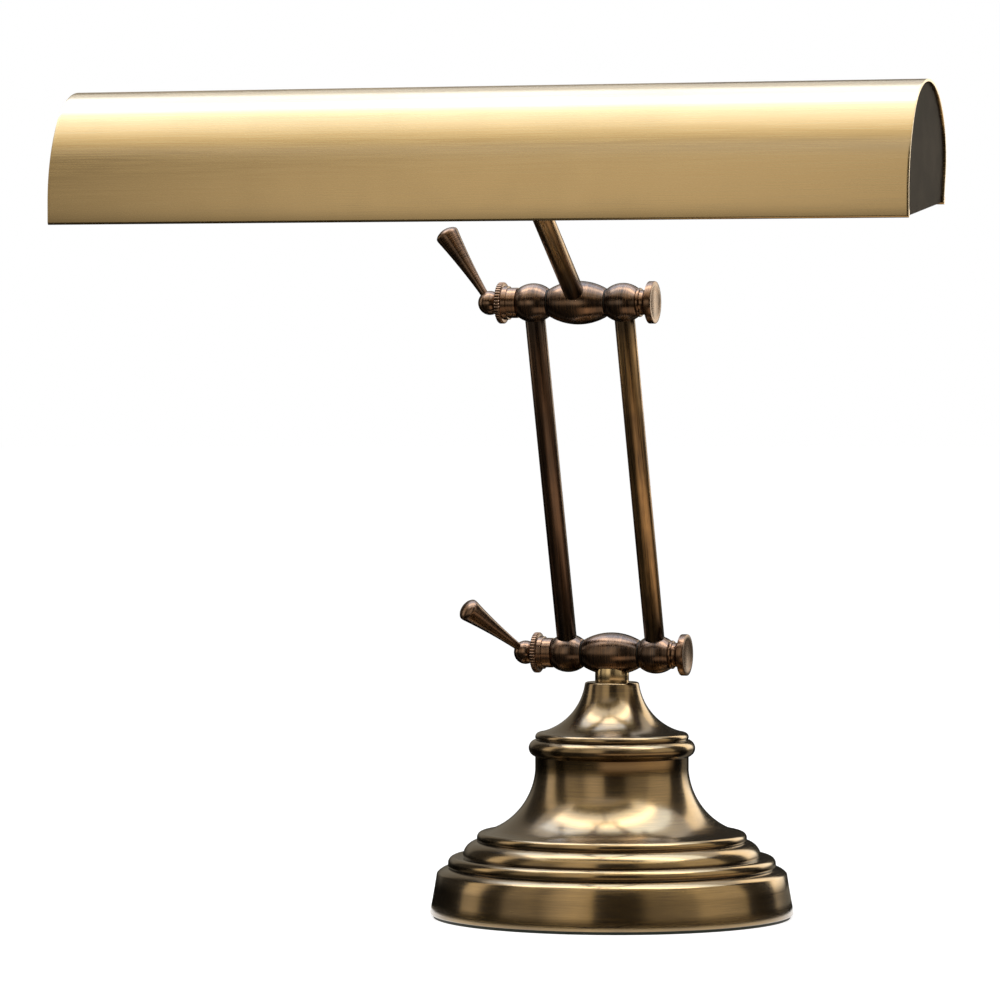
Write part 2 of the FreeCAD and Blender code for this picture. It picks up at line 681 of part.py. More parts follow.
def clamp_bolt(label, frame):
    """Bolt with a fine ring, a neck and a disc at its head."""
    ring_end = add(SIDE_END, "fine_ring_length")
    neck_end = add(ring_end, "disc_neck_length")
    rim_start = add(neck_end, "disc_flare")
    rim_end = add(rim_start, "disc_rim")
    face = add(rim_end, "disc_bevel")
    flare_start = (neck_end, "disc_neck_radius")
    flare_end = (rim_start, less("disc_radius", "disc_bevel"))
    bolt = turned(label, frame, "H_Axis", [
        ("-" + BOLT_END, "0"),
        ("line", "-" + BOLT_END, "bolt_radius"),
        ("line", SIDE_END, "bolt_radius"),
        ("line", SIDE_END, "fine_ring_radius"),
        ("line", ring_end, "fine_ring_radius"),
        ("line", ring_end, "disc_neck_radius"),
        ("line", *flare_start),
        ("counter", *flare_end, swell_radius(flare_start, flare_end, "0.2 * disc_flare")),
        ("line", add(rim_start, "disc_bevel"), "disc_radius"),
        ("line", rim_end, "disc_radius"),
        ("line", face, less("disc_radius", "disc_bevel")),
        ("line", face, "0"),
    ])
    keep(bolt, label)


def lever_nut(label, frame):
    """Neck, step, knurled ring and ball in one piece, threaded on the clamp bolt."""
    hole = add("bolt_radius", "running_fit")
    ball_edge = "sqrt(ball_radius^2 - (ball_radius - ball_sink)^2)"
    nut = turned(label, frame, "H_Axis", [
        (SIDE_END, hole),
        ("line", SIDE_END, "nut_neck_radius"),
        ("line", NUT_STEP, "nut_neck_radius"),
        ("line", NUT_STEP, "nut_step_radius"),
        ("line", KNURL_START, "nut_step_radius"),
        ("line", KNURL_START, less("knurl_radius", "knurl_bevel")),
        ("line", add(KNURL_START, "knurl_bevel"), "knurl_radius"),
        ("line", less(KNURL_END, "knurl_bevel"), "knurl_radius"),
        ("line", KNURL_END, less("knurl_radius", "knurl_bevel")),
        ("line", KNURL_END, ball_edge),
        ("clockwise", add(BALL_PLACE, "ball_radius"), "0", "ball_radius"),
        ("line", THREAD_END, "0"),
        ("line", THREAD_END, hole),
    ])
    bore(nut, within(handle_frame(), shift("0", "0", "handle_seat")),
         add("handle_root", "seat_fit"), "ball_radius")
    groove = primitive(nut, "SubtractivePrism",
                       within(shift(KNURL_START, "0", "knurl_radius"), turn("Y", "90")),
                       Circumradius="knurl_depth", Height="knurl_length")
    groove.Polygon = 4
    round_pattern(nut, groove, "X_Axis", "knurl_count")
    keep(nut, label)


def handle_frame():
    """From a lever nut's frame to the handle's, its Z along the handle."""
    return within(shift(BALL_PLACE, "0", "0"), turn("Y", "90 - handle_angle"))


def handle(label, frame):
    """Slim at the ball, swelling to a bevelled rim and a low dome."""
    root_end = add("ball_radius", "handle_shank")
    dome_start = less("handle_length", "handle_dome")
    bevel_start = less(dome_start, "handle_bevel")
    rim_start = less(bevel_start, "handle_rim")
    side_start = ("handle_root", root_end)
    side_end = ("handle_radius", rim_start)
    dome_foot = (less("handle_radius", "handle_bevel"), dome_start)
    dome_tip = ("0", "handle_length")
    dome_curve = "((%s^2 + handle_dome^2) / (2 * handle_dome))" % dome_foot[0]
    bar = turned(label, within(frame, handle_frame()), "V_Axis", [
        ("0", "handle_seat"),
        ("line", "handle_root", "handle_seat"),
        ("line", *side_start),
        ("clockwise", *side_end, swell_radius(side_start, side_end, "handle_hollow")),
        ("line", "handle_radius", bevel_start),
        ("line", *dome_foot),
        ("counter", *dome_tip, dome_curve),
    ])
    keep(bar, label)


def rod(label, frame, place, start, length):
    """A round rod along its frame's Z."""
    bar = new_body(label, frame)
    primitive(bar, "AdditiveCylinder", shift(place, "0", start), Radius="rod_radius", Height=length)
    keep(bar, label)


# ---- hood ------------------------------------------------------------------------------------

def hood_block(label, inset):
    """The hood's outline filled in, longer than the hood, for trimming what meets it."""
    outline = [hood_corner(0, inset), ("line", *hood_corner(1, inset))] + hood_rise(inset)
    return padded(label, HOOD, "2 * hood_length", outline)


def shade_hood():
    """Bent sheet with a folded hem along both edges and two screw holes at the back."""
    fold = "2 * hood_wall"
    outline = [
        hood_corner(0, "0"),
        ("line", *hood_corner(1, "0")),
        *hood_rise("0"),
        ("line", *back_point(fold, "0")),
        ("line", *back_point(fold, "hem_height")),
        ("line", *back_point("hood_wall", "hem_height")),
        *hood_fall("hood_wall"),
        ("line", "hood_wall", "hem_height"),
        ("line", fold, "hem_height"),
        ("line", fold, "0"),
    ]
    hood = padded("shade_hood", HOOD, "hood_length", outline)
    for sign in ("-", ""):
        bore(hood, screw_frame(sign), add("screw_radius", "seat_fit"), "screw_length")
    return keep(hood, "shade_hood")


def end_plate(label, frame, hood):
    """A flat plate just inside one end of the hood, notched round the hems."""
    inset = add("hood_wall", "seat_fit")
    outline = [hood_corner(0, inset), ("line", *hood_corner(1, inset))] + hood_rise(inset)
    middle = less("hood_length / 2", "end_inset", "end_thickness / 2")
    sign = "-" if label.startswith("left") else ""
    place = within(frame, shift(sign + middle, "0", "0"))
    blank = padded(label + "_blank", place, "end_thickness", outline)
    keep(boolean("Cut", label, blank, hood), label)


def screw_frame(sign):
    """A boss screw's own frame: its head's underside, Z along the shank."""
    seat = less(SEAT[0], "hood_wall", "pad_thickness")
    return within(shift(sign + "screw_spread", seat, SEAT[1]), turn("X", "-90"))


def shade_boss(block):
    """Half ball on the hood's back that the rod runs into."""
    ball = new_body("boss_blank", HOOD)
    middle = shift("0", *SEAT)
    primitive(ball, "AdditiveSphere", middle, Radius="boss_radius")
    outwards = within(middle, turn("X", "270 - rod_elevation"), shift("0", "0", "boss_seat"))
    bore(ball, outwards, add("rod_radius", "seat_fit"), "boss_radius")
    for sign in ("-", ""):
        bore(ball, screw_frame(sign), add("screw_radius", "seat_fit"), "screw_length")
    keep(boolean("Cut", "shade_boss", ball, block), "shade_boss")


def boss_screws():
    """Two pan-head screws through the bracket's pad and the hood into the boss."""
    screws = new_body("boss_screws", HOOD)
    screws.AllowCompound = True
    for sign in ("-", ""):
        frame = screw_frame(sign)
        primitive(screws, "AdditiveCylinder", frame, Radius="screw_radius", Height="screw_length")
        primitive(screws, "AdditiveCylinder", within(frame, shift("0", "0", "-screw_head_height")),
                  Radius="screw_head_radius", Height="screw_head_height")
    keep(screws, "boss_screws")


# ---- lamp works ---------------------------------------------------------------------------------

def lamp_bracket(block):
    """Web, two side flanges and a pad that lies against the hood's back."""
    blank = new_body("bracket_blank", HOOD)
    width = "2 * bracket_half"
    front = less("lamp_depth", "flange_half")
    pad_face = less(SEAT[0], "hood_wall", "pad_thickness")
    primitive(blank, "AdditiveBox", shift("-bracket_half", front, less("web_rise", "bracket_sheet")),
              Length=width, Width=less(SEAT[0], front), Height="bracket_sheet")
    primitive(blank, "AdditiveBox", shift("-bracket_half", pad_face, less("web_rise", "pad_drop")),
              Length=width, Width="2 * pad_thickness", Height="pad_drop")
    for start in ("-bracket_half", less("bracket_half", "bracket_sheet")):
        primitive(blank, "AdditiveBox", shift(start, front, less("web_rise", "flange_drop")),
                  Length="bracket_sheet", Width="2 * flange_half", Height="flange_drop")
    across = within(shift("-bracket_half", "lamp_depth", "lamp_rise"), turn("Y", "90"))
    bore(blank, across, add("spigot_radius", "seat_fit"), width)
    for sign in ("-", ""):
        bore(blank, screw_frame(sign), add("screw_radius", "seat_fit"), "screw_length")
    keep(boolean("Common", "lamp_bracket", blank, block), "lamp_bracket")


def lampholder(label, frame):
    """Cup with a spigot that fills its hole in the bracket's flange."""
    cup = add("cap_radius", "cap_play")
    back = less("bracket_half", "bracket_sheet")
    mouth = add("bracket_half", "socket_length")
    floor = add("bracket_half", "socket_floor")
    shoulder = less("socket_radius", "socket_round")
    holder = turned(label, frame, "H_Axis", [
        (back, "0"),
        ("line", back, "spigot_radius"),
        ("line", "bracket_half", "spigot_radius"),
        ("line", "bracket_half", shoulder),
        ("clockwise", add("bracket_half", "socket_round"), "socket_radius", "socket_round"),
        ("line", less(mouth, "socket_round"), "socket_radius"),
        ("clockwise", mouth, shoulder, "socket_round"),
        ("line", mouth, cup),
        ("line", floor, cup),
        ("line", floor, "0"),
    ])
    keep(holder, label)


def bulb_cap(label, frame):
    """Metal cap, resting on the lampholder's floor."""
    start = add("bracket_half", "socket_floor")
    end = add("bracket_half", "socket_length", "cap_rim")
    cap = turned(label, frame, "H_Axis", [
        (start, "0"),
        ("line", start, "cap_contact"),
        ("line", add(start, "cap_nose"), "cap_radius"),
        ("line", end, "cap_radius"),
        ("line", end, "0"),
    ])
    keep(cap, label)


def bulb(label, frame):
    """Tubular glass with a drawn-in neck and a rounded tip, open at the cap."""
    start = add("bracket_half", "socket_length", "cap_rim")
    end = add(start, "bulb_length")
    tip = less(end, "bulb_tip")
    wall = "bulb_wall"
    neck_foot = (start, "cap_radius")
    neck_head = (add(start, "bulb_neck"), "bulb_radius")
    neck_curve = swell_radius(neck_foot, neck_head, "0.08 * bulb_neck")
    inner_foot = (start, less("cap_radius", wall))
    inner_head = (add(start, "bulb_neck"), less("bulb_radius", wall))
    tip_curve = "((bulb_radius^2 + bulb_tip^2) / (2 * bulb_tip))"
    inner_radius = less("bulb_radius", wall)
    inner_tip = less("bulb_tip", wall)
    inner_curve = "((%s^2 + %s^2) / (2 * %s))" % (inner_radius, inner_tip, inner_tip)
    glass = turned(label, frame, "H_Axis", [
        neck_foot,
        ("clockwise", *neck_head, neck_curve),
        ("line", tip, "bulb_radius"),
        ("clockwise", end, "0", tip_curve),
        ("line", less(end, wall), "0"),
        ("counter", tip, inner_radius, inner_curve),
        ("line", *inner_head),
        ("counter", *inner_foot, swell_radius(inner_foot, inner_head, "0.08 * bulb_neck")),
    ])
    keep(glass, label)


def switch_body():
    """Round switch under the bracket's web, between the lampholders."""
    top = less("web_rise", "bracket_sheet", "lamp_rise")
    body = new_body("switch_body", LAMPS)
    floor = less(top, "switch_height")
    frame = shift("0", "0", floor)
    primitive(body, "AdditiveCylinder", frame, Radius="switch_radius", Height="switch_height")
    bore(body, frame, add("spindle_radius", "running_fit"), add("spindle_inside", "running_fit"))
    keep(body, "switch_body")
    return floor


def switch_knob(body_floor):
    """Spindle and fluted knob that turn together under the switch body."""
    knob_top = less(body_floor, "spindle_shows")
    knob_end = less(knob_top, "knob_height")
    blind = less(knob_top, "spindle_in_knob")
    length = add("spindle_inside", "spindle_shows", "spindle_in_knob")
    spindle = new_body("switch_spindle", LAMPS)
    primitive(spindle, "AdditiveCylinder", shift("0", "0", blind), Radius="spindle_radius", Height=length)
    keep(spindle, "switch_spindle")
    hole = add("spindle_radius", "seat_fit")
    end_radius = less("knob_radius", "knob_taper")
    knob = turned("switch_knob", LAMPS, "V_Axis", [
        ("0", blind),
        ("line", hole, blind),
        ("line", hole, knob_top),
        ("line", "knob_radius", knob_top),
        ("line", end_radius, add(knob_end, "knob_round")),
        ("clockwise", less(end_radius, "knob_round"), knob_end, "knob_round"),
        ("line", "0", knob_end),
    ])
    flute_place = add("knob_radius", "flute_radius / 3")
    flute = bore(knob, shift(flute_place, "0", knob_end), "flute_radius", "knob_height")
    round_pattern(knob, flute, "Z_Axis", "flute_count")
    keep(knob, "switch_knob")


# ---- the whole lamp ---------------------------------------------------------------------------------

def build_base():
    shell = base_shell()
    base_weight()
    cord_bushing(shell)
    felt_pad()


def build_swivel():
    swivel_stud()
    swivel_washer()
    swivel_nut()
    lower_knuckle()


def build_arms():
    for place, frame, rod_up in (("lower", ARM, True), ("upper", ARM_TOP, False)):
        side_bead(place + "_left_bead", within(frame, HALF_TURN), rod_up)
        side_bead(place + "_right_bead", frame, rod_up)
        friction_washers(place + "_friction_washers", frame)
        clamp_bolt(place + "_clamp_bolt", frame)
    length = less("arm_span", "2 * rod_seat")
    rod("left_arm", ARM, "-" + ARM_PLACE, "rod_seat", length)
    rod("right_arm", ARM, ARM_PLACE, "rod_seat", length)


def build_levers():
    for place, frame in (("lower", LOWER), ("upper", UPPER)):
        turned_frame = within(frame, turn("X", place + "_handle_turn"), HALF_TURN)
        lever_nut(place + "_lever_nut", turned_frame)
        handle(place + "_lever_handle", turned_frame)


def build_hood():
    upper_knuckle()
    rod("hood_rod", ROD, "0", "rod_seat", less("rod_reach", "rod_seat", "boss_seat"))
    hood = shade_hood()
    end_plate("left_end_plate", HOOD, hood)
    end_plate("right_end_plate", HOOD, hood)
    shade_boss(hood_block("outer_block", "0"))
    boss_screws()


def build_lamp_works():
    lamp_bracket(hood_block("inner_block", "hood_wall"))
    for place, frame in (("left", within(LAMPS, HALF_TURN)), ("right", LAMPS)):
        lampholder(place + "_lampholder", frame)
        bulb_cap(place + "_bulb_cap", frame)
        bulb(place + "_bulb", frame)
    switch_knob(switch_body())


def check_model():
    """Stops on a failed object, a cut that cut nothing or a shape that isn't sound."""
    for item in doc.Objects:
        bad = {"Invalid", "Error"} & set(item.State)
        if bad:
            raise RuntimeError("%s is %s" % (item.Label, ", ".join(bad)))
        if item.TypeId.startswith("PartDesign::Subtractive"):
            before = item.BaseFeature.Shape.Volume
            if item.Shape.Volume > before - 1e-6:
                raise RuntimeError("%s cuts nothing" % item.Label)
    for item in parts:
        shape = item.Shape
        if shape.isNull() or not shape.isValid() or not shape.Solids:
            raise RuntimeError("%s has no sound shape" % item.Label)


def write_parts():
    """Writes each sub-part's solid under its own name."""
    os.makedirs("parts", exist_ok=True)
    for item in parts:
        item.Shape.exportStep("parts/%s.step" % item.Label)
        box = item.Shape.BoundBox
        print("%-24s %2d solid %9.1f mm3  z %.1f..%.1f" % (
            item.Label, len(item.Shape.Solids), item.Shape.Volume, box.ZMin, box.ZMax))


build_base()
build_swivel()
build_arms()
build_levers()
build_hood()
build_lamp_works()
doc.recompute()
check_model()
write_parts()
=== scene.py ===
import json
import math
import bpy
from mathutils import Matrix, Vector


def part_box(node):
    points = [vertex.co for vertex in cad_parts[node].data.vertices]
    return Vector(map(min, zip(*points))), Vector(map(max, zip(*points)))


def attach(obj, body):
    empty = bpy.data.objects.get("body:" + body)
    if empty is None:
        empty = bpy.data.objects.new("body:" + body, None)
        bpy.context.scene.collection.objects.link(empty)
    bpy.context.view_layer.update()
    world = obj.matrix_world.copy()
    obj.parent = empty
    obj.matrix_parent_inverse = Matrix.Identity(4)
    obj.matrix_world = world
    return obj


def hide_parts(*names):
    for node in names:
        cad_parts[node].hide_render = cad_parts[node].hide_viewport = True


bl_info = {
    "name": "Piano lamp",
    "version": (1, 0, 0),
    "blender": (4, 5, 0),
    "location": "3D View > Sidebar > Piano lamp",
    "description": "Dresses the packed piano lamp in antique brass and sets it on its stage",
    "category": "Object",
}

import bpy
from bpy.props import FloatProperty, FloatVectorProperty, IntProperty, PointerProperty
from mathutils import Euler, Matrix, Vector

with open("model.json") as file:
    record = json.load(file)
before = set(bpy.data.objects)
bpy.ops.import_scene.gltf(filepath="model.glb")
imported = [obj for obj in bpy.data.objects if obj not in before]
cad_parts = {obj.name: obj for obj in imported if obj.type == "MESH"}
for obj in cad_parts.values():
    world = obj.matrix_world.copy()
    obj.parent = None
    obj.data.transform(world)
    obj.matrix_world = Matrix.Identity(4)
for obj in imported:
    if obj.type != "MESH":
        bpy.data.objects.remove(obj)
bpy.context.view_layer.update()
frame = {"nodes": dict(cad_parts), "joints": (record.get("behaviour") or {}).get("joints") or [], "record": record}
MM = 0.001
JOINTS = {joint["name"]: Vector(joint["pos_m"]) for joint in frame["joints"]}
LOWER_AXIS = JOINTS["arm_tilt"]
UPPER_AXIS = JOINTS["hood_tilt"]
LEVELS = (("lower", LOWER_AXIS), ("upper", UPPER_AXIS))
BODY_OF = {node: body for body, nodes in frame["record"]["behaviour"]["bodies"].items()
           for node in nodes}


# ---- what a user may change ----

def length(millimetres, meaning):
    """A length, kept in metres and given here in millimetres."""
    return FloatProperty(description=meaning, default=millimetres * MM, unit="LENGTH", precision=5)


def angle(degrees, meaning):
    """An angle, kept in radians and given here in degrees."""
    return FloatProperty(description=meaning, default=math.radians(degrees), unit="ROTATION")


def colour(value, meaning):
    """A colour, in linear light."""
    return FloatVectorProperty(description=meaning, default=value, subtype="COLOR", min=0, max=1)


def number(value, meaning):
    """A plain number."""
    return FloatProperty(description=meaning, default=value)


def named(group):
    """Names each setting of a group after its own identifier."""
    for identifier, setting in group.__annotations__.items():
        setting.keywords["name"] = identifier.replace("_", " ").capitalize()
    return group


@named
class LampSizes(bpy.types.PropertyGroup):
    """Sizes of the turned, drawn and bent pieces."""

    felt_thickness: length(1.2, "Thickness of the felt under the base")
    foot_radius: length(78.2, "Radius of the foot at its lowest edge")
    foot_taper: length(2.9, "How far the foot draws in")
    foot_height: length(18.7, "Foot up to its shoulder")
    foot_hollow: length(0.1, "Hollow of the foot's side")
    foot_round: length(0.9, "Rounded lower edge of the foot")
    shoulder_width: length(5.4, "Rounded shoulder, inwards")
    shoulder_rise: length(2.6, "Rounded shoulder, upwards")
    shoulder_swell: length(0.7, "Swell of the shoulder")
    groove: length(0.6, "Grooves between the rings")
    ring1_height: length(4.7, "Height of the lowest ring")
    ring1_width: length(6.95, "Lowest ring's tread")
    ring1_round: length(2.8, "Lowest ring's rounding")
    ring2_height: length(6.7, "Height of the middle ring")
    ring2_width: length(6.7, "Middle ring's tread")
    ring2_round: length(6.2, "Middle ring's rounding")
    ring3_height: length(3.8, "Height of the upper ring")
    ring3_width: length(6.05, "Upper ring's tread")
    ring3_round: length(2.3, "Upper ring's rounding")
    ring3_rise: length(0.9, "Rise of the upper ring's tread")
    bell_height: length(25.7, "Height of the hollow bell")
    bell_hollow: length(4.6, "Hollow of the bell's side")
    waist_radius: length(33.0, "Radius of the waist over the bell")
    waist_height: length(5.9, "Height of the straight waist")
    bead_height: length(7.3, "Height of the half-round ring")
    bead_swell: length(3.1, "How far the half-round ring stands out")
    lip_height: length(3.0, "Height of the lip over the half-round ring")
    lip_bevel: length(1.9, "Lip's upper edge")
    cove_height: length(20.8, "Cove up to the neck")
    cove_hollow: length(4.45, "Hollow of the cove")
    neck_radius: length(11.7, "Radius of the neck at the top of the cove")
    neck_edge: length(0.9, "Rounded edge of the neck's top")
    neck_bore: length(5.08, "Hole for the swivel stud")
    shell_wall: length(2.2, "Wall of the base shell")
    knuckle_half: length(12.4, "Half the length of a middle bead")
    knuckle_swell: length(3.3, "Middle bead's swell")
    bead_end: length(5.9, "Radius of the beads at their ends")
    washer: length(0.5, "Thickness of a washer between two beads")
    side_length: length(13.5, "Length of an outer bead")
    side_swell: length(2.35, "Outer bead's swell")
    bolt_hole: length(3.08, "Radius of the hole for the clamp bolt")
    bolt_radius: length(3.0, "Radius of a clamp bolt")
    bolt_end: length(32.9, "Bolt's end from the lamp's middle")
    fine_ring_radius: length(6.1, "Radius of the fine ring beside the disc")
    fine_ring_length: length(1.2, "Length of the fine ring beside the disc")
    disc_neck_radius: length(5.2, "Radius of the neck under the disc")
    disc_neck_length: length(1.7, "Length of the neck under the disc")
    disc_flare: length(1.7, "Flare under the disc")
    disc_radius: length(8.9, "Radius of the disc")
    disc_rim: length(2.8, "Rim of the disc, with its bevel")
    disc_dish: length(0.25, "Dish in the disc's face")
    nut_neck_radius: length(6.4, "Radius of the lever nut's neck")
    nut_neck_length: length(3.9, "Length of the lever nut's neck")
    nut_step_radius: length(7.1, "Radius of the step beside the knurled ring")
    nut_step_length: length(2.0, "Length of the step beside the knurled ring")
    knurl_radius: length(8.75, "Radius of the knurled ring")
    knurl_length: length(2.4, "Length of the knurled ring")
    knurl_edge: length(0.35, "Knurled ring's edges")
    knurl_depth: length(0.45, "Depth of a knurl's groove")
    ball_radius: length(5.1, "Radius of the ball that holds the handle")
    ball_sink: length(0.9, "How far the ball sinks into the ring")
    handle_angle: angle(56.8, "Handle from the barrel's axis")
    handle_length: length(37.0, "Handle's end from the ball's middle")
    handle_seat: length(3.2, "Handle's root from the ball's middle")
    handle_root: length(1.7, "Radius of the handle at its root")
    handle_shank: length(1.0, "Straight root outside the ball")
    handle_radius: length(5.0, "Radius of the handle at its widest")
    handle_hollow: length(0.35, "Hollow of the handle's side")
    handle_rim: length(1.0, "Rim at the handle's end")
    handle_bevel: length(0.9, "Bevel at the handle's end")
    handle_dome: length(1.2, "Dome at the handle's end")
    lower_handle_turn: angle(48.8, "Lower handle, forward of upright")
    upper_handle_turn: angle(1.4, "Upper handle, forward of upright")
    rod_radius: length(4.3, "Arm rods and hood rod")
    rod_seat: length(4.6, "Rod's end from a barrel's axis")
    rod_elevation: angle(34.2, "Hood rod above level")
    rod_reach: length(105.0, "Upper barrel's axis to the hood's back")
    boss_seat: length(4.5, "Rod's end from the boss's middle")
    hood_wall: length(1.0, "Thickness of the hood's sheet")
    hem_height: length(2.6, "Height of the folded hem")
    front_skirt: length(8.8, "Height of the straight front edge")
    shoulder_curve: length(57.0, "Front shoulder's radius")
    shoulder_sweep: angle(35.6, "Front shoulder's turn")
    crown_curve: length(29.6, "Crown's radius")
    crown_sweep: angle(158.4, "Crown's turn")
    back_skirt: length(11.1, "Height of the straight back edge")
    knurl_count: IntProperty(description="Grooves round the knurled ring", default=40, min=12)


@named
class LampColours(bpy.types.PropertyGroup):
    """Colours of the finishes."""

    base_gold: colour((0.325, 0.205, 0.062), "Lit rod gold of the base")
    base_brown: colour((0.150, 0.090, 0.027), "Brown patina of the base")
    arm_copper: colour((0.240, 0.132, 0.072), "Warm rubbed brown of the beads, nuts and handles")
    rod_copper: colour((0.230, 0.125, 0.070), "Warm rubbed brown of the left arm")
    # painted light: a lighter gold for the right arm and the hood's rod than the left arm of the same finish
    lit_rod_gold: colour((0.700, 0.430, 0.185), "Lit rod gold of the right arm and the hood's rod")
    arm_brown: colour((0.040, 0.024, 0.017), "Dark patina of the arms and beads")
    hood_gold: colour((0.410, 0.288, 0.124), "Brushed gold of the hood")
    hood_brown: colour((0.340, 0.232, 0.090), "Brown streaks of the hood")
    # painted shade: the hood's end plates are coloured near-black for the dark that they reflect
    end_plate_shade: colour((0.026, 0.020, 0.016), "Blackened end plates of the hood")
    collar_gold: colour((0.620, 0.460, 0.240), "Polished swivel collar")
    # painted shade: a near-black colour laid into the grooves and the gaps between the beads
    painted_groove_shade: colour((0.016, 0.012, 0.009), "Darkened metal in the grooves")
    steel_grey: colour((0.520, 0.520, 0.530), "Plated steel")
    iron_grey: colour((0.080, 0.078, 0.075), "Cast iron")
    felt_green: colour((0.035, 0.048, 0.036), "Felt under the base")
    plastic_black: colour((0.030, 0.029, 0.028), "Moulded plastic and rubber")
    cap_grey: colour((0.700, 0.700, 0.690), "Bulb caps")
    glass_white: colour((0.900, 0.890, 0.860), "Frosted bulbs")
    table_card: colour((0.980, 0.740, 0.500), "Card on the table before the lamp, seen in the rods")
    floor_white: colour((0.620, 0.620, 0.620), "Plain pale floor")


@named
class LampStage(bpy.types.PropertyGroup):
    """Camera and studio light."""

    camera_azimuth: angle(16.5, "Camera from the lamp's front, towards its right")
    camera_distance: length(2282.78, "Camera from the lamp's axis")
    camera_height: length(234.858, "Camera above the floor")
    camera_pitch: angle(-1.3981, "Camera's tilt above level")
    camera_aim: angle(1.2093, "How far the camera looks past the axis, to its left")
    camera_roll: angle(0.0255, "Camera's roll")
    camera_lens: number(191.357, "Focal length in millimetres on a 36 mm sensor")
    key_light: number(14.0, "Power of the soft light on the floor")
    fill_light: number(0.40, "Strength of the room's soft light")
    box_strength: number(9.0, "Brightness in the metal of the overhead box")
    floor_glow: number(0.76, "How far the floor and room are white by themselves")


# ---- modelling ----

def choose(piece):
    """Selects one piece alone."""
    bpy.ops.object.select_all(action="DESELECT")
    piece.select_set(True)
    bpy.context.view_layer.objects.active = piece


def arc(start, end, swell, steps):
    """Points after start on an arc to end, which stands out by swell to the right of the way."""
    start, end = Vector(start), Vector(end)
    chord = end - start
    radius = (chord.length ** 2 / 4 + swell ** 2) / (2 * abs(swell))
    right = Vector((chord.y, -chord.x)).normalized() * math.copysign(1, swell)
    middle = (start + end) / 2 - right * (radius - abs(swell))
    first = start - middle
    sweep = first.angle_signed(end - middle)
    points = []
    for step in range(1, steps + 1):
        turn = -sweep * step / steps
        points.append((middle.x + first.x * math.cos(turn) - first.y * math.sin(turn),
                       middle.y + first.x * math.sin(turn) + first.y * math.cos(turn)))
    return points


def quarter(start, radius, steps=6):
    """Points after start on a quarter round, from upright to level, inwards."""
    return [(start[0] - radius * (1 - math.cos(turn)), start[1] + radius * math.sin(turn))
            for turn in (math.pi / 2 * step / steps for step in range(1, steps + 1))]


def edit_all():
    """Opens the active piece in edit mode with all of its mesh selected."""
    bpy.ops.object.mode_set(mode="EDIT")
    bpy.ops.mesh.select_all(action="SELECT")


def draw_outline(name, points):
    """An outline drawn point after point with the extrude tool, left open in edit mode."""
    bpy.ops.object.select_all(action="DESELECT")
    bpy.ops.mesh.primitive_plane_add(size=MM)
    piece = bpy.context.object
    piece.name = piece.data.name = name
    edit_all()
    bpy.ops.mesh.merge(type="CENTER")
    bpy.ops.transform.translate(value=points[0])
    for last, point in zip(points, points[1:]):
        step = Vector(point) - Vector(last)
        bpy.ops.mesh.extrude_region_move(TRANSFORM_OT_translate={"value": step})
    return piece


def tidy_mesh():
    """Joins doubled points and turns all faces outwards."""
    bpy.ops.mesh.select_all(action="SELECT")
    bpy.ops.mesh.remove_doubles(threshold=1e-6)
    bpy.ops.mesh.normals_make_consistent(inside=False)


def turned(name, outline, steps=96):
    """A piece turned about Z in steps round. Its outline runs through (radius, height) points."""
    piece = draw_outline(name, [(radius, 0, height) for radius, height in outline])
    bpy.ops.mesh.select_all(action="SELECT")
    bpy.ops.mesh.spin(steps=steps, angle=math.tau, center=(0, 0, 0), axis=(0, 0, 1))
    tidy_mesh()
    bpy.ops.object.mode_set(mode="OBJECT")
    return piece


def soften(piece, width, sharper_than=35, segments=2):
    """Rounds a piece's sharp edges and smooths the rest."""
    choose(piece)
    bevel = piece.modifiers.new("edges", "BEVEL")
    bevel.width = width
    bevel.segments = segments
    bevel.limit_method = "ANGLE"
    bevel.angle_limit = math.radians(sharper_than)
    bevel.use_clamp_overlap = True
    bpy.ops.object.modifier_apply(modifier=bevel.name)
    bpy.ops.object.shade_smooth_by_angle(angle=math.radians(sharper_than))
    return piece


def put(piece, place):
    """Moves a piece to its place and keeps that place in its mesh."""
    choose(piece)
    piece.matrix_world = place
    bpy.ops.object.transform_apply(location=True, rotation=True, scale=True)
    return piece


def copies(piece, *names):
    """The piece under its first name and copies of it under the others, each with its own mesh."""
    piece.name = piece.data.name = names[0]
    made = [piece]
    for name in names[1:]:
        choose(piece)
        bpy.ops.object.duplicate()
        twin = bpy.context.object
        twin.name = twin.data.name = name
        made.append(twin)
    return made


def fit(piece, material, *nodes):
    """The piece takes the place of its nodes and rides on their body."""
    piece.data.materials.clear()
    piece.data.materials.append(material)
    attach(piece, BODY_OF[nodes[0]])
    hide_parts(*nodes)


def dress(material, *nodes):
    """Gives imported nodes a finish."""
    for node in nodes:
        mesh = frame["nodes"][node].data
        mesh.materials.clear()
        mesh.materials.append(material)


def about(axis, turn):
    """A turn about X, Y or Z."""
    return Matrix.Rotation(turn, 4, axis)


def along_x(middle, side=1):
    """A frame at middle whose Z runs along X, to the right or to the left."""
    return Matrix.Translation(middle) @ about("Y", side * math.pi / 2)


# ---- finishes ----

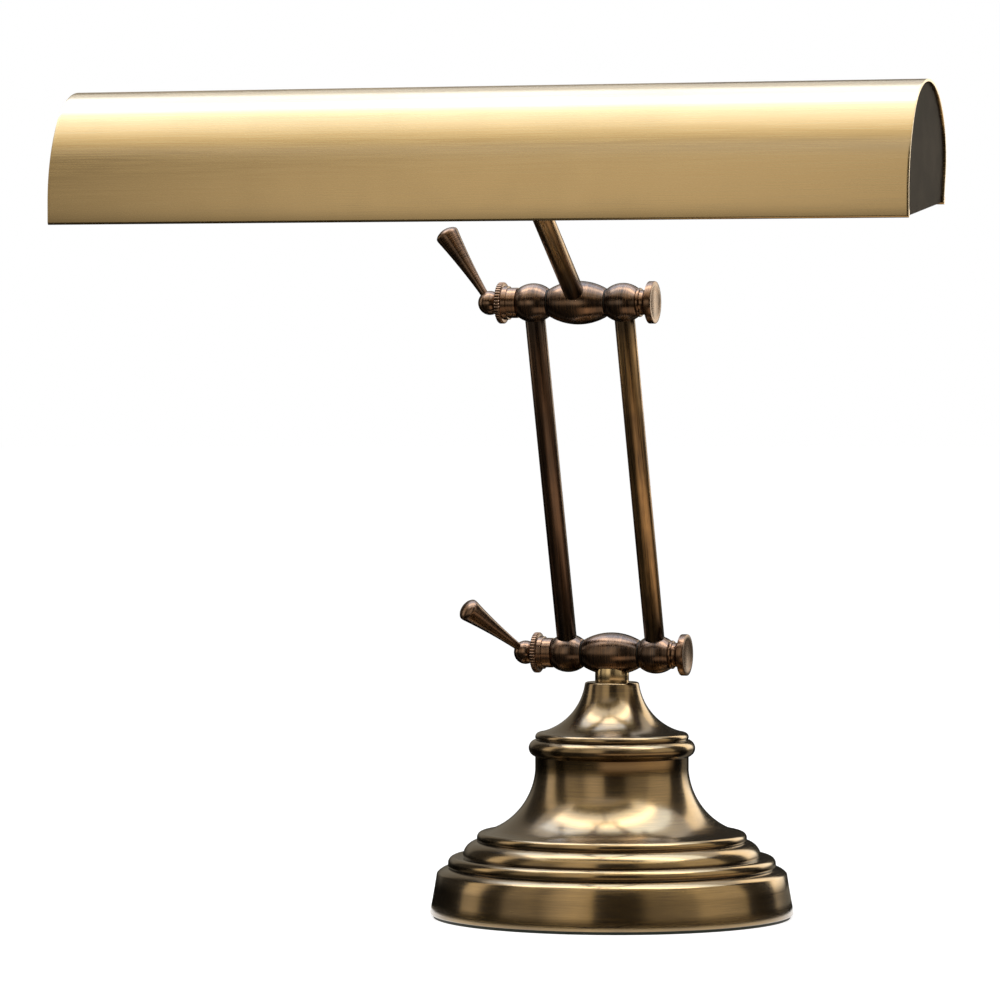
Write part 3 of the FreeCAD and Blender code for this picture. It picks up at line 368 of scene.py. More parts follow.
# noise steps in a metre: round and across a turned piece, then along X, Y and Z of a rod and a sheet
LATHE_LINES = (70.0, 2600.0)
ROD_LINES = (2200.0, 2200.0, 45.0)
SHEET_LINES = (26.0, 2100.0, 2100.0)
FINE_LINES = (0.30, 0.70)  # noise at a tool line's floor and crest
EDGE_REACH = 0.9 * MM  # how far from an edge it is rubbed bare
WORN_EDGE = (0.80, 0.35)  # openness at which the rubbing starts and is full
EDGE_SHARE = 0.5
GROOVE_SHADE = (0.68, 0.30)  # openness at which a groove's painted shade starts and is full
END_SHADE_LENGTH = 0.028  # painted shade at each end of a rod, its length in metres
END_RAGGED = 0.05
END_SHADE_SHARE = 0.45  # share of the patina's colour used for the painted shade there
LINE_ROUGHNESS = 0.10
PATINA_ROUGHNESS = 0.06
GRAIN_ROUGHNESS = 0.12


def new_material(name):
    """An empty material with its shader."""
    material = bpy.data.materials.new(name)
    material.use_nodes = True
    return material, material.node_tree, material.node_tree.nodes["Principled BSDF"]


def set_inputs(tree, made, inputs):
    """Links or sets a node's inputs."""
    for socket, value in inputs.items():
        if isinstance(value, bpy.types.NodeSocket):
            tree.links.new(value, made.inputs[socket])
        else:
            made.inputs[socket].default_value = value


def node(tree, kind, inputs=None, **settings):
    """A node with its settings, and its inputs linked or set."""
    made = tree.nodes.new("ShaderNode" + kind)
    for name, value in settings.items():
        setattr(made, name, value)
    set_inputs(tree, made, inputs or {})
    return made


def maths(tree, operation, first, second=0.0):
    """A calculation with two values or sockets."""
    return node(tree, "Math", {0: first, 1: second}, operation=operation).outputs[0]


def own_place(tree, place):
    """Places in the piece's own axes, with its own Z along its length or lathe axis."""
    coordinates = node(tree, "TexCoord").outputs["Object"]
    centred = node(tree, "Mapping", {"Vector": coordinates, "Location": place.to_translation(),
                                     "Rotation": place.to_euler()}, vector_type="TEXTURE")
    return centred.outputs["Vector"]


def noise(tree, vector, scale=1.0, detail=3.0, roughness=0.65):
    """A cloudy value from 0 to 1."""
    return node(tree, "TexNoise", {"Vector": vector, "Scale": scale, "Detail": detail,
                                   "Roughness": roughness}).outputs["Fac"]


def lathe_lines(tree, own):
    """Fine lines round a turned piece."""
    parts = node(tree, "SeparateXYZ", {"Vector": own})
    flat = node(tree, "CombineXYZ", {"X": parts.outputs["X"], "Y": parts.outputs["Y"]})
    radius = node(tree, "VectorMath", {0: flat.outputs["Vector"]}, operation="LENGTH").outputs["Value"]
    height = maths(tree, "SUBTRACT", parts.outputs["Z"], radius)
    lines = node(tree, "CombineXYZ", {"X": maths(tree, "MULTIPLY", parts.outputs["X"], LATHE_LINES[0]),
                                      "Y": maths(tree, "MULTIPLY", parts.outputs["Y"], LATHE_LINES[0]),
                                      "Z": maths(tree, "MULTIPLY", height, LATHE_LINES[1])})
    return noise(tree, lines.outputs["Vector"])


def drawn_lines(tree, own, scale):
    """Fine lines along a drawn rod or a brushed sheet."""
    return noise(tree, node(tree, "Mapping", {"Vector": own, "Scale": scale}).outputs["Vector"])


def openness(tree, distance, inside=False):
    """How open the surface is within a distance, from outside or, at an edge, from inside."""
    return node(tree, "AmbientOcclusion", {"Distance": distance}, samples=8, inside=inside,
                only_local=True).outputs["AO"]


def ramp(tree, value, low, high):
    """A value stretched so that low is 0 and high is 1."""
    return node(tree, "MapRange", {"Value": value, "From Min": low, "From Max": high},
                interpolation_type="SMOOTHSTEP").outputs["Result"]


def mix(tree, share, first, second, blend="MIX"):
    """Two colours mixed."""
    mixed = node(tree, "Mix", data_type="RGBA", blend_type=blend)
    set_inputs(tree, mixed, {0: share, 6: first, 7: second})
    return mixed.outputs[2]


def colour_steps(tree, share, stops):
    """A colour that runs through the stops, each a place from 0 to 1 and its colour."""
    made = node(tree, "ValToRGB", {"Fac": share})
    steps = made.color_ramp
    for where, tint in stops:
        steps.elements.new(where).color = tint
    steps.elements.remove(steps.elements[0])
    steps.elements.remove(steps.elements[-1])
    return made.outputs["Color"]


def rgba(tint, share=1.0):
    """A colour with its alpha, made darker or lighter by a share."""
    return (*(share * part for part in tint), 1.0)


def brass(name, light, dark, place, roughness, brushed, patches, streak, lines="lathe",
          reach=None, end_shade_span=None, coat=0.7):
    """Antique brass: rubbed light metal over a dark patina, fine tool lines, worn edges, painted shade in grooves
    as far as its reach in millimetres, and painted shade at both ends of a rod of the given length."""
    material, tree, shader = new_material(name)
    own = own_place(tree, place)
    if lines == "lathe":
        grain = lathe_lines(tree, own)
    else:
        grain = drawn_lines(tree, own, ROD_LINES if lines == "rod" else SHEET_LINES)
    scale, bare, covered = patches
    cloud = noise(tree, own, scale, 4.0, 0.6)
    patina = ramp(tree, cloud, bare, covered)
    fine = ramp(tree, grain, *FINE_LINES)
    share = maths(tree, "ADD", maths(tree, "MULTIPLY", patina, 1 - streak),
                  maths(tree, "MULTIPLY", fine, streak))
    metal = mix(tree, share, rgba(dark), rgba(light))
    worn = openness(tree, EDGE_REACH, inside=True)
    edge = maths(tree, "MULTIPLY", ramp(tree, worn, *WORN_EDGE), EDGE_SHARE)
    metal = mix(tree, edge, metal, rgba(light))
    # painted shade: each end of a rod, where it meets its beads, is darker than the patina
    if end_shade_span is not None:
        along = node(tree, "SeparateXYZ", {"Vector": own}).outputs["Z"]
        from_end = maths(tree, "MINIMUM", along, maths(tree, "SUBTRACT", end_shade_span, along))
        ragged = maths(tree, "MULTIPLY", maths(tree, "SUBTRACT", cloud, 0.5), END_RAGGED)
        shade = ramp(tree, maths(tree, "ADD", from_end, ragged), END_SHADE_LENGTH, 0.0)
        metal = mix(tree, shade, metal, rgba(dark, END_SHADE_SHARE))
    # painted shade: the metal turns to the groove colour where occlusion finds a hollow within the reach
    if reach is not None:
        groove_shade_tint = bpy.context.scene.lamp_colours.painted_groove_shade
        metal = mix(tree, ramp(tree, openness(tree, reach * MM), *GROOVE_SHADE), metal, rgba(groove_shade_tint))
    rough = maths(tree, "ADD", roughness - LINE_ROUGHNESS / 2, maths(tree, "MULTIPLY", fine, LINE_ROUGHNESS))
    rough = maths(tree, "ADD", rough,
                  maths(tree, "MULTIPLY", maths(tree, "SUBTRACT", 1.0, patina), PATINA_ROUGHNESS))
    bump = node(tree, "Bump", {"Height": grain, "Strength": 0.10, "Distance": 0.03 * MM})
    if lines == "lathe":
        axis = place.to_quaternion() @ Vector((0, 0, 1))
        coordinates = node(tree, "TexCoord").outputs["Object"]
        out = node(tree, "VectorMath", {0: coordinates, 1: place.to_translation()}, operation="SUBTRACT")
        way = node(tree, "VectorMath", {0: axis, 1: out.outputs["Vector"]}, operation="CROSS_PRODUCT")
    else:
        run = Vector((1, 0, 0)) if lines == "sheet" else Vector((0, 0, 1))
        way = node(tree, "VectorMath", {0: place.to_quaternion() @ run, 1: (1, 1, 1)}, operation="MULTIPLY")
    tangent = node(tree, "VectorTransform", {"Vector": way.outputs["Vector"]}, vector_type="VECTOR",
                   convert_from="OBJECT", convert_to="WORLD")
    set_inputs(tree, shader, {
        "Base Color": metal, "Metallic": 1.0, "Roughness": rough, "Normal": bump.outputs["Normal"],
        "Coat Weight": coat, "Coat IOR": 1.9, "Coat Roughness": 0.20,
        "Anisotropic": brushed, "Anisotropic Rotation": 0.25, "Tangent": tangent.outputs["Vector"]})
    return material


def worn_copper(name, place, roughness, brushed, patches, streak, reach=None, coat=0.3):
    """The warm brass of the beads, discs, nuts, handles and boss."""
    colours = bpy.context.scene.lamp_colours
    return brass(name, colours.arm_copper, colours.arm_brown, place, roughness, brushed, patches, streak,
                 reach=reach, coat=coat)


def plain(name, tint, roughness, metallic=0.0, grain=900.0, depth=0.05, variation=0.25, weave=0.0):
    """Moulded, cast, plated or felted surfaces: a tint that varies, with a fine grain."""
    material, tree, shader = new_material(name)
    place = node(tree, "TexCoord").outputs["Object"]
    fine = noise(tree, place, grain, 4.0, 0.6)
    broad = noise(tree, place, 60.0, 3.0, 0.5)
    shade = maths(tree, "ADD", maths(tree, "MULTIPLY", fine, 0.5), maths(tree, "MULTIPLY", broad, 0.5))
    tints = mix(tree, ramp(tree, shade, 0.35, 0.65), rgba(tint, 1 - variation), rgba(tint, 1 + variation))
    rough = maths(tree, "ADD", roughness - GRAIN_ROUGHNESS / 2, maths(tree, "MULTIPLY", fine, GRAIN_ROUGHNESS))
    bump = node(tree, "Bump", {"Height": fine, "Strength": 0.6, "Distance": depth * MM})
    set_inputs(tree, shader, {"Base Color": tints, "Metallic": metallic, "Roughness": rough,
                              "Normal": bump.outputs["Normal"]})
    if weave:
        set_inputs(tree, shader, {"Sheen Weight": weave, "Sheen Roughness": 0.5})
    return material


# ---- base ----

def shell_outline(s):
    """The stepped base's outline, up the outside and down the hollow inside."""
    foot_upper = s.foot_radius - s.foot_taper
    low = (s.foot_radius - s.foot_round, s.felt_thickness)
    side = (s.foot_radius, s.felt_thickness + s.foot_round)
    points = [low] + arc(low, side, s.foot_round * 0.29, 4)
    points += arc(side, (foot_upper, s.foot_height), -s.foot_hollow, 3)
    groove = (foot_upper - s.shoulder_width, s.foot_height + s.shoulder_rise)
    points += arc(points[-1], groove, s.shoulder_swell, 8)
    ring = groove[0] + s.groove
    top = groove[1] + s.ring1_height
    points += [(ring, groove[1] + s.groove), (ring, top - s.ring1_round)]
    points += quarter(points[-1], s.ring1_round)
    ledge = (ring, top)
    groove = (ring - s.ring1_width, top - s.groove)
    ring = groove[0] + s.groove
    bottom, top = top, top + s.ring2_height
    points += [groove, (ring, bottom + s.groove)]
    points += arc(points[-1], (ring - s.ring2_round, top), 0.24 * s.ring2_round, 8)
    groove = (ring - s.ring2_width, top - s.groove)
    ring = groove[0] + s.groove
    bottom, top = top, top + s.ring3_height
    points += [groove, (ring, bottom + s.groove), (ring, top - s.ring3_round)]
    points += quarter(points[-1], s.ring3_round)
    bell_foot = (ring - s.ring3_width, top + s.ring3_rise)
    bell_top = bell_foot[1] + s.bell_height
    points += [bell_foot] + arc(bell_foot, (s.waist_radius, bell_top), -s.bell_hollow, 24)
    waist_top = bell_top + s.waist_height
    bead_top = waist_top + s.bead_height
    lip_top = bead_top + s.lip_height
    points += [(s.waist_radius, waist_top)]
    points += arc(points[-1], (s.waist_radius - s.groove, bead_top), s.bead_swell, 16)
    points += [(s.waist_radius, bead_top + s.groove), (s.waist_radius, lip_top - s.lip_bevel)]
    points += quarter(points[-1], s.lip_bevel)
    cove_top = lip_top + s.cove_height
    points += arc(points[-1], (s.neck_radius, cove_top), -s.cove_hollow, 24)
    neck_top = cove_top + s.neck_edge
    points += arc(points[-1], (s.neck_radius - s.neck_edge, neck_top), 0.25 * s.neck_edge, 4)
    inner = s.waist_radius - s.shell_wall
    floor = lip_top - s.shell_wall
    roof = top - s.shell_wall
    foot_bore = foot_upper - s.shell_wall
    ledge_bore = ledge[0] - s.shell_wall - 0.3 * s.ring1_round
    ledge_top = ledge[1] - s.groove - s.shell_wall
    points += [(s.neck_bore, neck_top), (s.neck_bore, floor), (inner, floor), (inner, bell_top)]
    points += arc(points[-1], (bell_foot[0] - s.shell_wall, roof), s.bell_hollow, 12)
    points += [(ring - s.shell_wall, roof), (ring - s.shell_wall, ledge_top), (ledge_bore, ledge_top),
               (ledge_bore, s.foot_height), (foot_bore, s.foot_height), (foot_bore, s.felt_thickness), low]
    return points


class LAMP_OT_base(bpy.types.Operator):
    """Turn the stepped base shell"""

    bl_idname = "piano_lamp.base"
    bl_label = "Base shell"

    def execute(self, context):
        sizes, colours = context.scene.lamp_sizes, context.scene.lamp_colours
        shell = turned("stepped_base", shell_outline(sizes), 192)
        soften(shell, 0.22 * MM, sharper_than=38)
        finish = brass("base_brass", colours.base_gold, colours.base_brown, Matrix(), roughness=0.165,
                       brushed=0.62, patches=(14.0, 0.36, 0.66), streak=0.45, reach=5.0)
        fit(shell, finish, "base_shell")
        return {"FINISHED"}


class LAMP_OT_underside(bpy.types.Operator):
    """Finish the weight, the felt and the cord bushing"""

    bl_idname = "piano_lamp.underside"
    bl_label = "Weight, felt and bushing"

    def execute(self, context):
        colours = context.scene.lamp_colours
        iron = plain("rough_cast_iron", colours.iron_grey, 0.75, 0.6, grain=500.0, depth=0.25)
        dress(iron, "base_weight")
        felt = plain("green_felt", colours.felt_green, 0.95, grain=2600.0, depth=0.30, weave=0.6)
        dress(felt, "felt_pad")
        rubber = plain("black_rubber", colours.plastic_black, 0.62, grain=1500.0, depth=0.03)
        dress(rubber, "cord_bushing")
        return {"FINISHED"}


class LAMP_OT_swivel(bpy.types.Operator):
    """Turn the bright swivel stud and finish the steel pieces and washers"""

    bl_idname = "piano_lamp.swivel"
    bl_label = "Swivel stud"

    def execute(self, context):
        colours = context.scene.lamp_colours
        low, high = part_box("swivel_stud")
        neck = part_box("base_shell")[1].z
        collar = high.x
        shank, thread, wire = 5.0 * MM, 4.0 * MM, 2.6 * MM
        collar_top = high.z - 1.4 * MM
        bore_top = neck - 4.0 * MM
        stud = turned("swivel_stud_collar", [
            (wire, low.z), (shank, low.z), (shank, neck), (collar, neck), (collar, collar_top),
            (thread, collar_top), (thread, high.z), (0, high.z), (0, bore_top), (wire, bore_top),
            (wire, low.z)])
        soften(stud, 0.25 * MM)
        polished = brass("polished_collar", colours.collar_gold, colours.hood_gold, Matrix(),
                         roughness=0.22, brushed=0.35, patches=(60.0, 0.2, 0.5), streak=0.3)
        fit(stud, polished, "swivel_stud")
        steel = plain("plated_steel", colours.steel_grey, 0.32, 1.0, grain=1200.0, depth=0.01, variation=0.12)
        dress(steel, "swivel_washer", "swivel_nut", "boss_screws", "switch_spindle", "lamp_bracket")
        # painted shade: the friction washers take the near-black groove colour of the gaps between the beads
        groove_shade_finish = plain("groove_shade_washer", colours.painted_groove_shade, 0.45, 0.8, grain=1500.0, depth=0.01)
        dress(groove_shade_finish, "lower_friction_washers", "upper_friction_washers")
        return {"FINISHED"}


# ---- clamp barrels ----

def bead_outline(s, start, end, swell, steps=20):
    """A barrel-shaped bead with a hole, from start to end along its axis."""
    return ([(s.bolt_hole, start), (s.bead_end, start)]
            + arc((s.bead_end, start), (s.bead_end, end), swell, steps)
            + [(s.bolt_hole, end), (s.bolt_hole, start)])


def barrel_end(s):
    """Where a barrel's outer beads end, from the lamp's middle."""
    return s.knuckle_half + s.washer + s.side_length


class LAMP_OT_beads(bpy.types.Operator):
    """Turn the middle and outer beads of both clamp barrels"""

    bl_idname = "piano_lamp.beads"
    bl_label = "Beads"

    def execute(self, context):
        s = context.scene.lamp_sizes
        middle_bead = bead_outline(s, -s.knuckle_half, s.knuckle_half, s.knuckle_swell, 28)
        side_bead = bead_outline(s, s.knuckle_half + s.washer, barrel_end(s), s.side_swell)
        middles = copies(soften(turned("middle_bead", middle_bead), 0.35 * MM),
                         "lower_knuckle_turned", "upper_knuckle_turned")
        sides = copies(soften(turned("side_bead", side_bead), 0.35 * MM),
                       "lower_left_bead_turned", "lower_right_bead_turned",
                       "upper_left_bead_turned", "upper_right_bead_turned")
        for (level, axis), middle, left, right in zip(LEVELS, middles, sides[::2], sides[1::2]):
            finish = worn_copper(level + "_bead_brass", along_x(axis), roughness=0.23, brushed=0.35,
                                 patches=(75.0, 0.42, 0.68), streak=0.4, reach=2.5)
            fit(put(middle, along_x(axis)), finish, level + "_knuckle")
            fit(put(left, along_x(axis, -1)), finish, level + "_left_bead")
            fit(put(right, along_x(axis)), finish, level + "_right_bead")
        return {"FINISHED"}


class LAMP_OT_clamp_bolts(bpy.types.Operator):
    """Turn the clamp bolts with their discs"""

    bl_idname = "piano_lamp.clamp_bolts"
    bl_label = "Clamp bolts"

    def execute(self, context):
        s = context.scene.lamp_sizes
        start = barrel_end(s)
        ring_end = start + s.fine_ring_length
        neck_end = ring_end + s.disc_neck_length
        rim = neck_end + s.disc_flare
        face = rim + s.disc_rim
        dish_edge, dish_floor = 0.78 * s.disc_radius, 0.70 * s.disc_radius
        outline = [(0, -s.bolt_end), (s.bolt_radius, -s.bolt_end), (s.bolt_radius, start),
                   (s.fine_ring_radius, start), (s.fine_ring_radius, ring_end),
                   (s.disc_neck_radius, ring_end), (s.disc_neck_radius, neck_end)]
        outline += arc(outline[-1], (s.disc_radius, rim), -0.2 * s.disc_flare, 5)
        outline += [(s.disc_radius, face), (dish_edge, face), (dish_floor, face - s.disc_dish),
                    (0, face - s.disc_dish)]
        bolts = copies(soften(turned("disc_bolt", outline), 0.32 * MM), "lower_disc_bolt", "upper_disc_bolt")
        for (level, axis), bolt in zip(LEVELS, bolts):
            finish = worn_copper(level + "_disc_brass", along_x(axis), roughness=0.26, brushed=0.4,
                                 patches=(70.0, 0.34, 0.62), streak=0.5, reach=2.0, coat=0.2)
            fit(put(bolt, along_x(axis)), finish, level + "_clamp_bolt")
        return {"FINISHED"}


def handle_place(s, axis, turn):
    """A lever's own frame at its barrel, and its handle's frame in it."""
    lever = Matrix.Translation(axis) @ about("X", turn) @ along_x(Vector(), -1)
    ball = (barrel_end(s) + s.nut_neck_length + s.nut_step_length + s.knurl_length + s.ball_radius
            - s.ball_sink)
    upright = Matrix.Translation(axis + about("X", turn) @ Vector((-ball, 0, 0)))
    return lever, upright @ about("X", turn) @ about("Y", s.handle_angle - math.pi / 2)


class LAMP_OT_levers(bpy.types.Operator):
    """Turn and knurl the lever nuts, and turn their handles"""

    bl_idname = "piano_lamp.levers"
    bl_label = "Lever nuts and handles"

    def nut(self, s):
        """A lever nut's neck, step, knurled ring and ball, turned from one piece."""
        start = barrel_end(s)
        step = start + s.nut_neck_length
        ring = step + s.nut_step_length
        ring_end = ring + s.knurl_length
        ball = ring_end + s.ball_radius - s.ball_sink
        hole_end = ring_end - 1.2 * MM
        rim = s.knurl_radius - s.knurl_edge
        outline = [(s.bolt_hole, start), (s.nut_neck_radius, start), (s.nut_neck_radius, step),
                   (s.nut_step_radius, step), (s.nut_step_radius, ring), (rim, ring),
                   (s.knurl_radius, ring + s.knurl_edge), (s.knurl_radius, ring_end - s.knurl_edge),
                   (rim, ring_end)]
        low = math.asin((s.ball_radius - s.ball_sink) / s.ball_radius)
        outline += [(s.ball_radius * math.cos(turn), ball + s.ball_radius * math.sin(turn))
                    for turn in (-low + (math.pi / 2 + low) * part / 18 for part in range(18))]
        outline += [(0, ball + s.ball_radius), (0, hole_end), (s.bolt_hole, hole_end), (s.bolt_hole, start)]
        nut = turned("knurled_nut", outline, s.knurl_count * 4)
        self.knurl(nut, s)
        return nut

    def knurl(self, nut, s):
        """Presses a groove between each two knurls, at every fourth line of the ring."""
        choose(nut)
        bpy.ops.object.mode_set(mode="EDIT")
        bpy.ops.mesh.select_all(action="DESELECT")
        bpy.ops.mesh.select_mode(type="VERT")
        bpy.ops.object.mode_set(mode="OBJECT")
        for vertex in nut.data.vertices:
            spot = vertex.co
            on_ring = math.hypot(spot.x, spot.y) > s.knurl_radius - s.knurl_edge - 1e-6
            pitches = math.atan2(spot.y, spot.x) / math.tau * s.knurl_count
            vertex.select = on_ring and abs(pitches - round(pitches)) < 0.1
        bpy.ops.object.mode_set(mode="EDIT")
        share = 1 - s.knurl_depth / s.knurl_radius
        bpy.ops.transform.resize(value=(share, share, 1), center_override=(0, 0, 0))
        bpy.ops.object.mode_set(mode="OBJECT")

    def handle(self, s):
        """A slim handle that widens to a bevelled, domed end."""
        root_end = s.ball_radius + s.handle_shank
        dome = s.handle_length - s.handle_dome
        bevel = dome - s.handle_bevel
        outline = [(0, s.handle_seat), (s.handle_root, s.handle_seat), (s.handle_root, root_end)]
        outline += arc(outline[-1], (s.handle_radius, bevel - s.handle_rim), -s.handle_hollow, 10)
        dome_edge = s.handle_radius - s.handle_bevel
        outline += [(s.handle_radius, bevel), (dome_edge, dome)]
        curve = (dome_edge ** 2 + s.handle_dome ** 2) / (2 * s.handle_dome)
        low = math.asin(dome_edge / curve)
        outline += [(curve * math.sin(turn), s.handle_length - curve * (1 - math.cos(turn)))
                    for turn in (low * (1 - part / 6) for part in range(1, 6))]
        return turned("turned_handle", outline + [(0, s.handle_length)], 72)

    def execute(self, context):
        s = context.scene.lamp_sizes
        nuts = copies(soften(self.nut(s), 0.12 * MM, sharper_than=40),
                      "lower_knurled_nut", "upper_knurled_nut")
        handles = copies(soften(self.handle(s), 0.3 * MM, sharper_than=25),
                         "lower_turned_handle", "upper_turned_handle")
        turns = (s.lower_handle_turn, s.upper_handle_turn)
        for (level, axis), turn, nut, handle in zip(LEVELS, turns, nuts, handles):
            lever, grip = handle_place(s, axis, turn)
            finish = worn_copper(level + "_nut_brass", lever, roughness=0.23, brushed=0.3,
                                 patches=(70.0, 0.34, 0.62), streak=0.5, reach=1.6)
            fit(put(nut, lever), finish, level + "_lever_nut")
            finish = worn_copper(level + "_handle_brass", grip, roughness=0.25, brushed=0.4,
                                 patches=(60.0, 0.36, 0.64), streak=0.45)
            fit(put(handle, grip), finish, level + "_lever_handle")
        return {"FINISHED"}


# ---- rods ----

class LAMP_OT_rods(bpy.types.Operator):
    """Draw the two arm rods and the hood's rod"""

    bl_idname = "piano_lamp.rods"
    bl_label = "Arm rods and hood rod"

    def rod(self, radius, length):
        """A straight rod with rounded ends, from the origin up Z."""
        outline = [(0, 0), (radius, 0), (radius, length / 2), (radius, length), (0, length)]
        return soften(turned("straight_rod", outline, 80), 0.4 * MM)

    def set_in(self, rod, light, dark, start, way, node_name):
        """Puts a rod between its beads and gives it its finish."""
        place = Matrix.Translation(start) @ way.to_track_quat("Z", "Y").to_matrix().to_4x4()
        finish = brass(rod.name + "_brass", light, dark, place, roughness=0.28, brushed=0.3,
                       patches=(16.0, 0.34, 0.66), streak=0.4, lines="rod", end_shade_span=way.length, coat=0.3)
        fit(put(rod, place), finish, node_name)

    def execute(self, context):
        s, colours = context.scene.lamp_sizes, context.scene.lamp_colours
        dark = colours.arm_brown
        span = UPPER_AXIS - LOWER_AXIS
        lean = span.normalized()
        way = span - 2 * s.rod_seat * lean
        aside = Vector((s.knuckle_half + s.washer + s.side_length / 2, 0, 0))
        seat = LOWER_AXIS + lean * s.rod_seat
        left, right = copies(self.rod(s.rod_radius, way.length), "left_arm_rod", "right_arm_rod")
        # painted light: the right arm and the hood's rod take the lighter gold, the left arm the plain one
        self.set_in(left, colours.rod_copper, dark, seat - aside, way, "left_arm")
        self.set_in(right, colours.lit_rod_gold, dark, seat + aside, way, "right_arm")
        up = Vector((0, -math.cos(s.rod_elevation), math.sin(s.rod_elevation)))
        way = up * (s.rod_reach - s.boss_seat - s.rod_seat)
        rod, = copies(self.rod(s.rod_radius, way.length), "short_hood_rod")
        self.set_in(rod, colours.lit_rod_gold, dark, UPPER_AXIS + up * s.rod_seat, way, "hood_rod")
        return {"FINISHED"}


# ---- hood ----

# shares of its length in which the hood is drawn out; the short ones keep its ends' shading flat
HOOD_LENGTHS = (0.003, 0.497, 0.497, 0.003)


def hood_line(s, inset):
    """The hood's section inset from its outside, from the front edge up over the crown to the back,
    and its way down there."""
    def curve(middle, radius, start, sweep, steps):
        """Points on a round part of the section after its start."""
        return [(middle[0] - radius * math.cos(turn), middle[1] + radius * math.sin(turn))
                for turn in (start + sweep * step / steps for step in range(1, steps + 1))]

    shoulder = (s.shoulder_curve, s.front_skirt)
    crown = (s.shoulder_curve - (s.shoulder_curve - s.crown_curve) * math.cos(s.shoulder_sweep),
             s.front_skirt + (s.shoulder_curve - s.crown_curve) * math.sin(s.shoulder_sweep))
    points = [(inset, inset), (inset, s.front_skirt)]
    points += curve(shoulder, s.shoulder_curve - inset, 0, s.shoulder_sweep, 14)
    points += curve(crown, s.crown_curve - inset, s.shoulder_sweep, s.crown_sweep, 44)
    swept = s.shoulder_sweep + s.crown_sweep
    down = Vector((math.sin(swept), math.cos(swept)))
    points.append(tuple(Vector(points[-1]) + down * (s.back_skirt - inset)))
    return points, down


class LAMP_OT_hood(bpy.types.Operator):
    """Bend the hood from one sheet, with a folded hem along both edges"""

    bl_idname = "piano_lamp.hood"
    bl_label = "Hood"

    def section(self, s, half):
        """The middle line of the bent sheet, with the folds of both hems."""
        points, down = hood_line(s, half)
        folds = [math.pi * step / 6 for step in range(1, 6)]
        front = [(3 * half, s.hem_height), (3 * half, half)]
        front += [(2 * half + half * math.cos(turn), half - half * math.sin(turn)) for turn in folds]
        across = Vector((-down.y, down.x))
        end = Vector(points[-1])
        back = [end + across * half * (1 - math.cos(turn)) + down * half * math.sin(turn) for turn in folds]
        back += [end + across * 2 * half, end + across * 2 * half - down * (s.hem_height - half)]
        return front + points + [tuple(point) for point in back]

    def execute(self, context):
        s, colours = context.scene.lamp_sizes, context.scene.lamp_colours
        low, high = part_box("shade_hood")
        outline = self.section(s, s.hood_wall / 2)
        hood = draw_outline("bent_hood", [(low.x, low.y + y, low.z + z) for y, z in outline])
        bpy.ops.mesh.select_all(action="SELECT")
        for share in HOOD_LENGTHS:
            step = ((high.x - low.x) * share, 0, 0)
            bpy.ops.mesh.extrude_region_move(TRANSFORM_OT_translate={"value": step})
        bpy.ops.mesh.select_all(action="SELECT")
        bpy.ops.mesh.normals_make_consistent(inside=False)
        bpy.ops.object.mode_set(mode="OBJECT")
        sheet = hood.modifiers.new("sheet", "SOLIDIFY")
        sheet.thickness = s.hood_wall
        sheet.offset = 0
        sheet.use_even_offset = True
        bpy.ops.object.modifier_apply(modifier=sheet.name)
        edit_all()
        bpy.ops.mesh.normals_make_consistent(inside=False)
        bpy.ops.object.mode_set(mode="OBJECT")
        soften(hood, 0.28 * MM, sharper_than=50)
        corner = Matrix.Translation((0, low.y, low.z))
        finish = brass("hood_brass", colours.hood_gold, colours.hood_brown, corner, roughness=0.24,
                       brushed=0.40, patches=(9.0, 0.25, 0.55), streak=0.5, lines="sheet")
        fit(hood, finish, "shade_hood")
        # painted shade: the end plates take a near-black colour instead of the hood's brass
        plate = plain("shade_painted_plate", colours.end_plate_shade, 0.70, 1.0, grain=1400.0, depth=0.04,
                      variation=0.5)
        dress(plate, "left_end_plate", "right_end_plate")
        return {"FINISHED"}


class LAMP_OT_boss(bpy.types.Operator):
    """Finish the half-ball boss on the hood's back"""

    bl_idname = "piano_lamp.boss"
    bl_label = "Boss"

    def execute(self, context):
        low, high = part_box("shade_boss")
        place = Matrix.Translation((low + high) / 2) @ about("X", math.pi / 2)
        finish = worn_copper("boss_brass", place, roughness=0.28, brushed=0.35, patches=(70.0, 0.34, 0.62),
                             streak=0.5, reach=2.0)
        dress(finish, "shade_boss")
        return {"FINISHED"}


class LAMP_OT_lamp_works(bpy.types.Operator):
    """Finish the lampholders, caps, bulbs and switch"""

    bl_idname = "piano_lamp.lamp_works"
    bl_label = "Lamp works"

    def execute(self, context):
        colours = context.scene.lamp_colours
        plastic = plain("moulded_plastic", colours.plastic_black, 0.48, grain=1700.0, depth=0.02)
        dress(plastic, "left_lampholder", "right_lampholder", "switch_body", "switch_knob")
        metal = plain("bright_cap", colours.cap_grey, 0.22, 1.0, grain=800.0, depth=0.01, variation=0.08)
        dress(metal, "left_bulb_cap", "right_bulb_cap")
        glass = plain("frosted_glass", colours.glass_white, 0.45, grain=1800.0, depth=0.01, variation=0.03)
        set_inputs(glass.node_tree, glass.node_tree.nodes["Principled BSDF"],
                   {"Transmission Weight": 0.45, "IOR": 1.45})
        dress(glass, "left_bulb", "right_bulb")
        return {"FINISHED"}


# ---- stage ----

def white_rays(tree):
    """1 for the rays that see the room itself: the camera's, and those off metal and through glass."""
    path = node(tree, "LightPath").outputs
    seen = maths(tree, "MAXIMUM", path["Is Camera Ray"], path["Is Glossy Ray"])
    return maths(tree, "MAXIMUM", seen, path["Is Transmission Ray"])


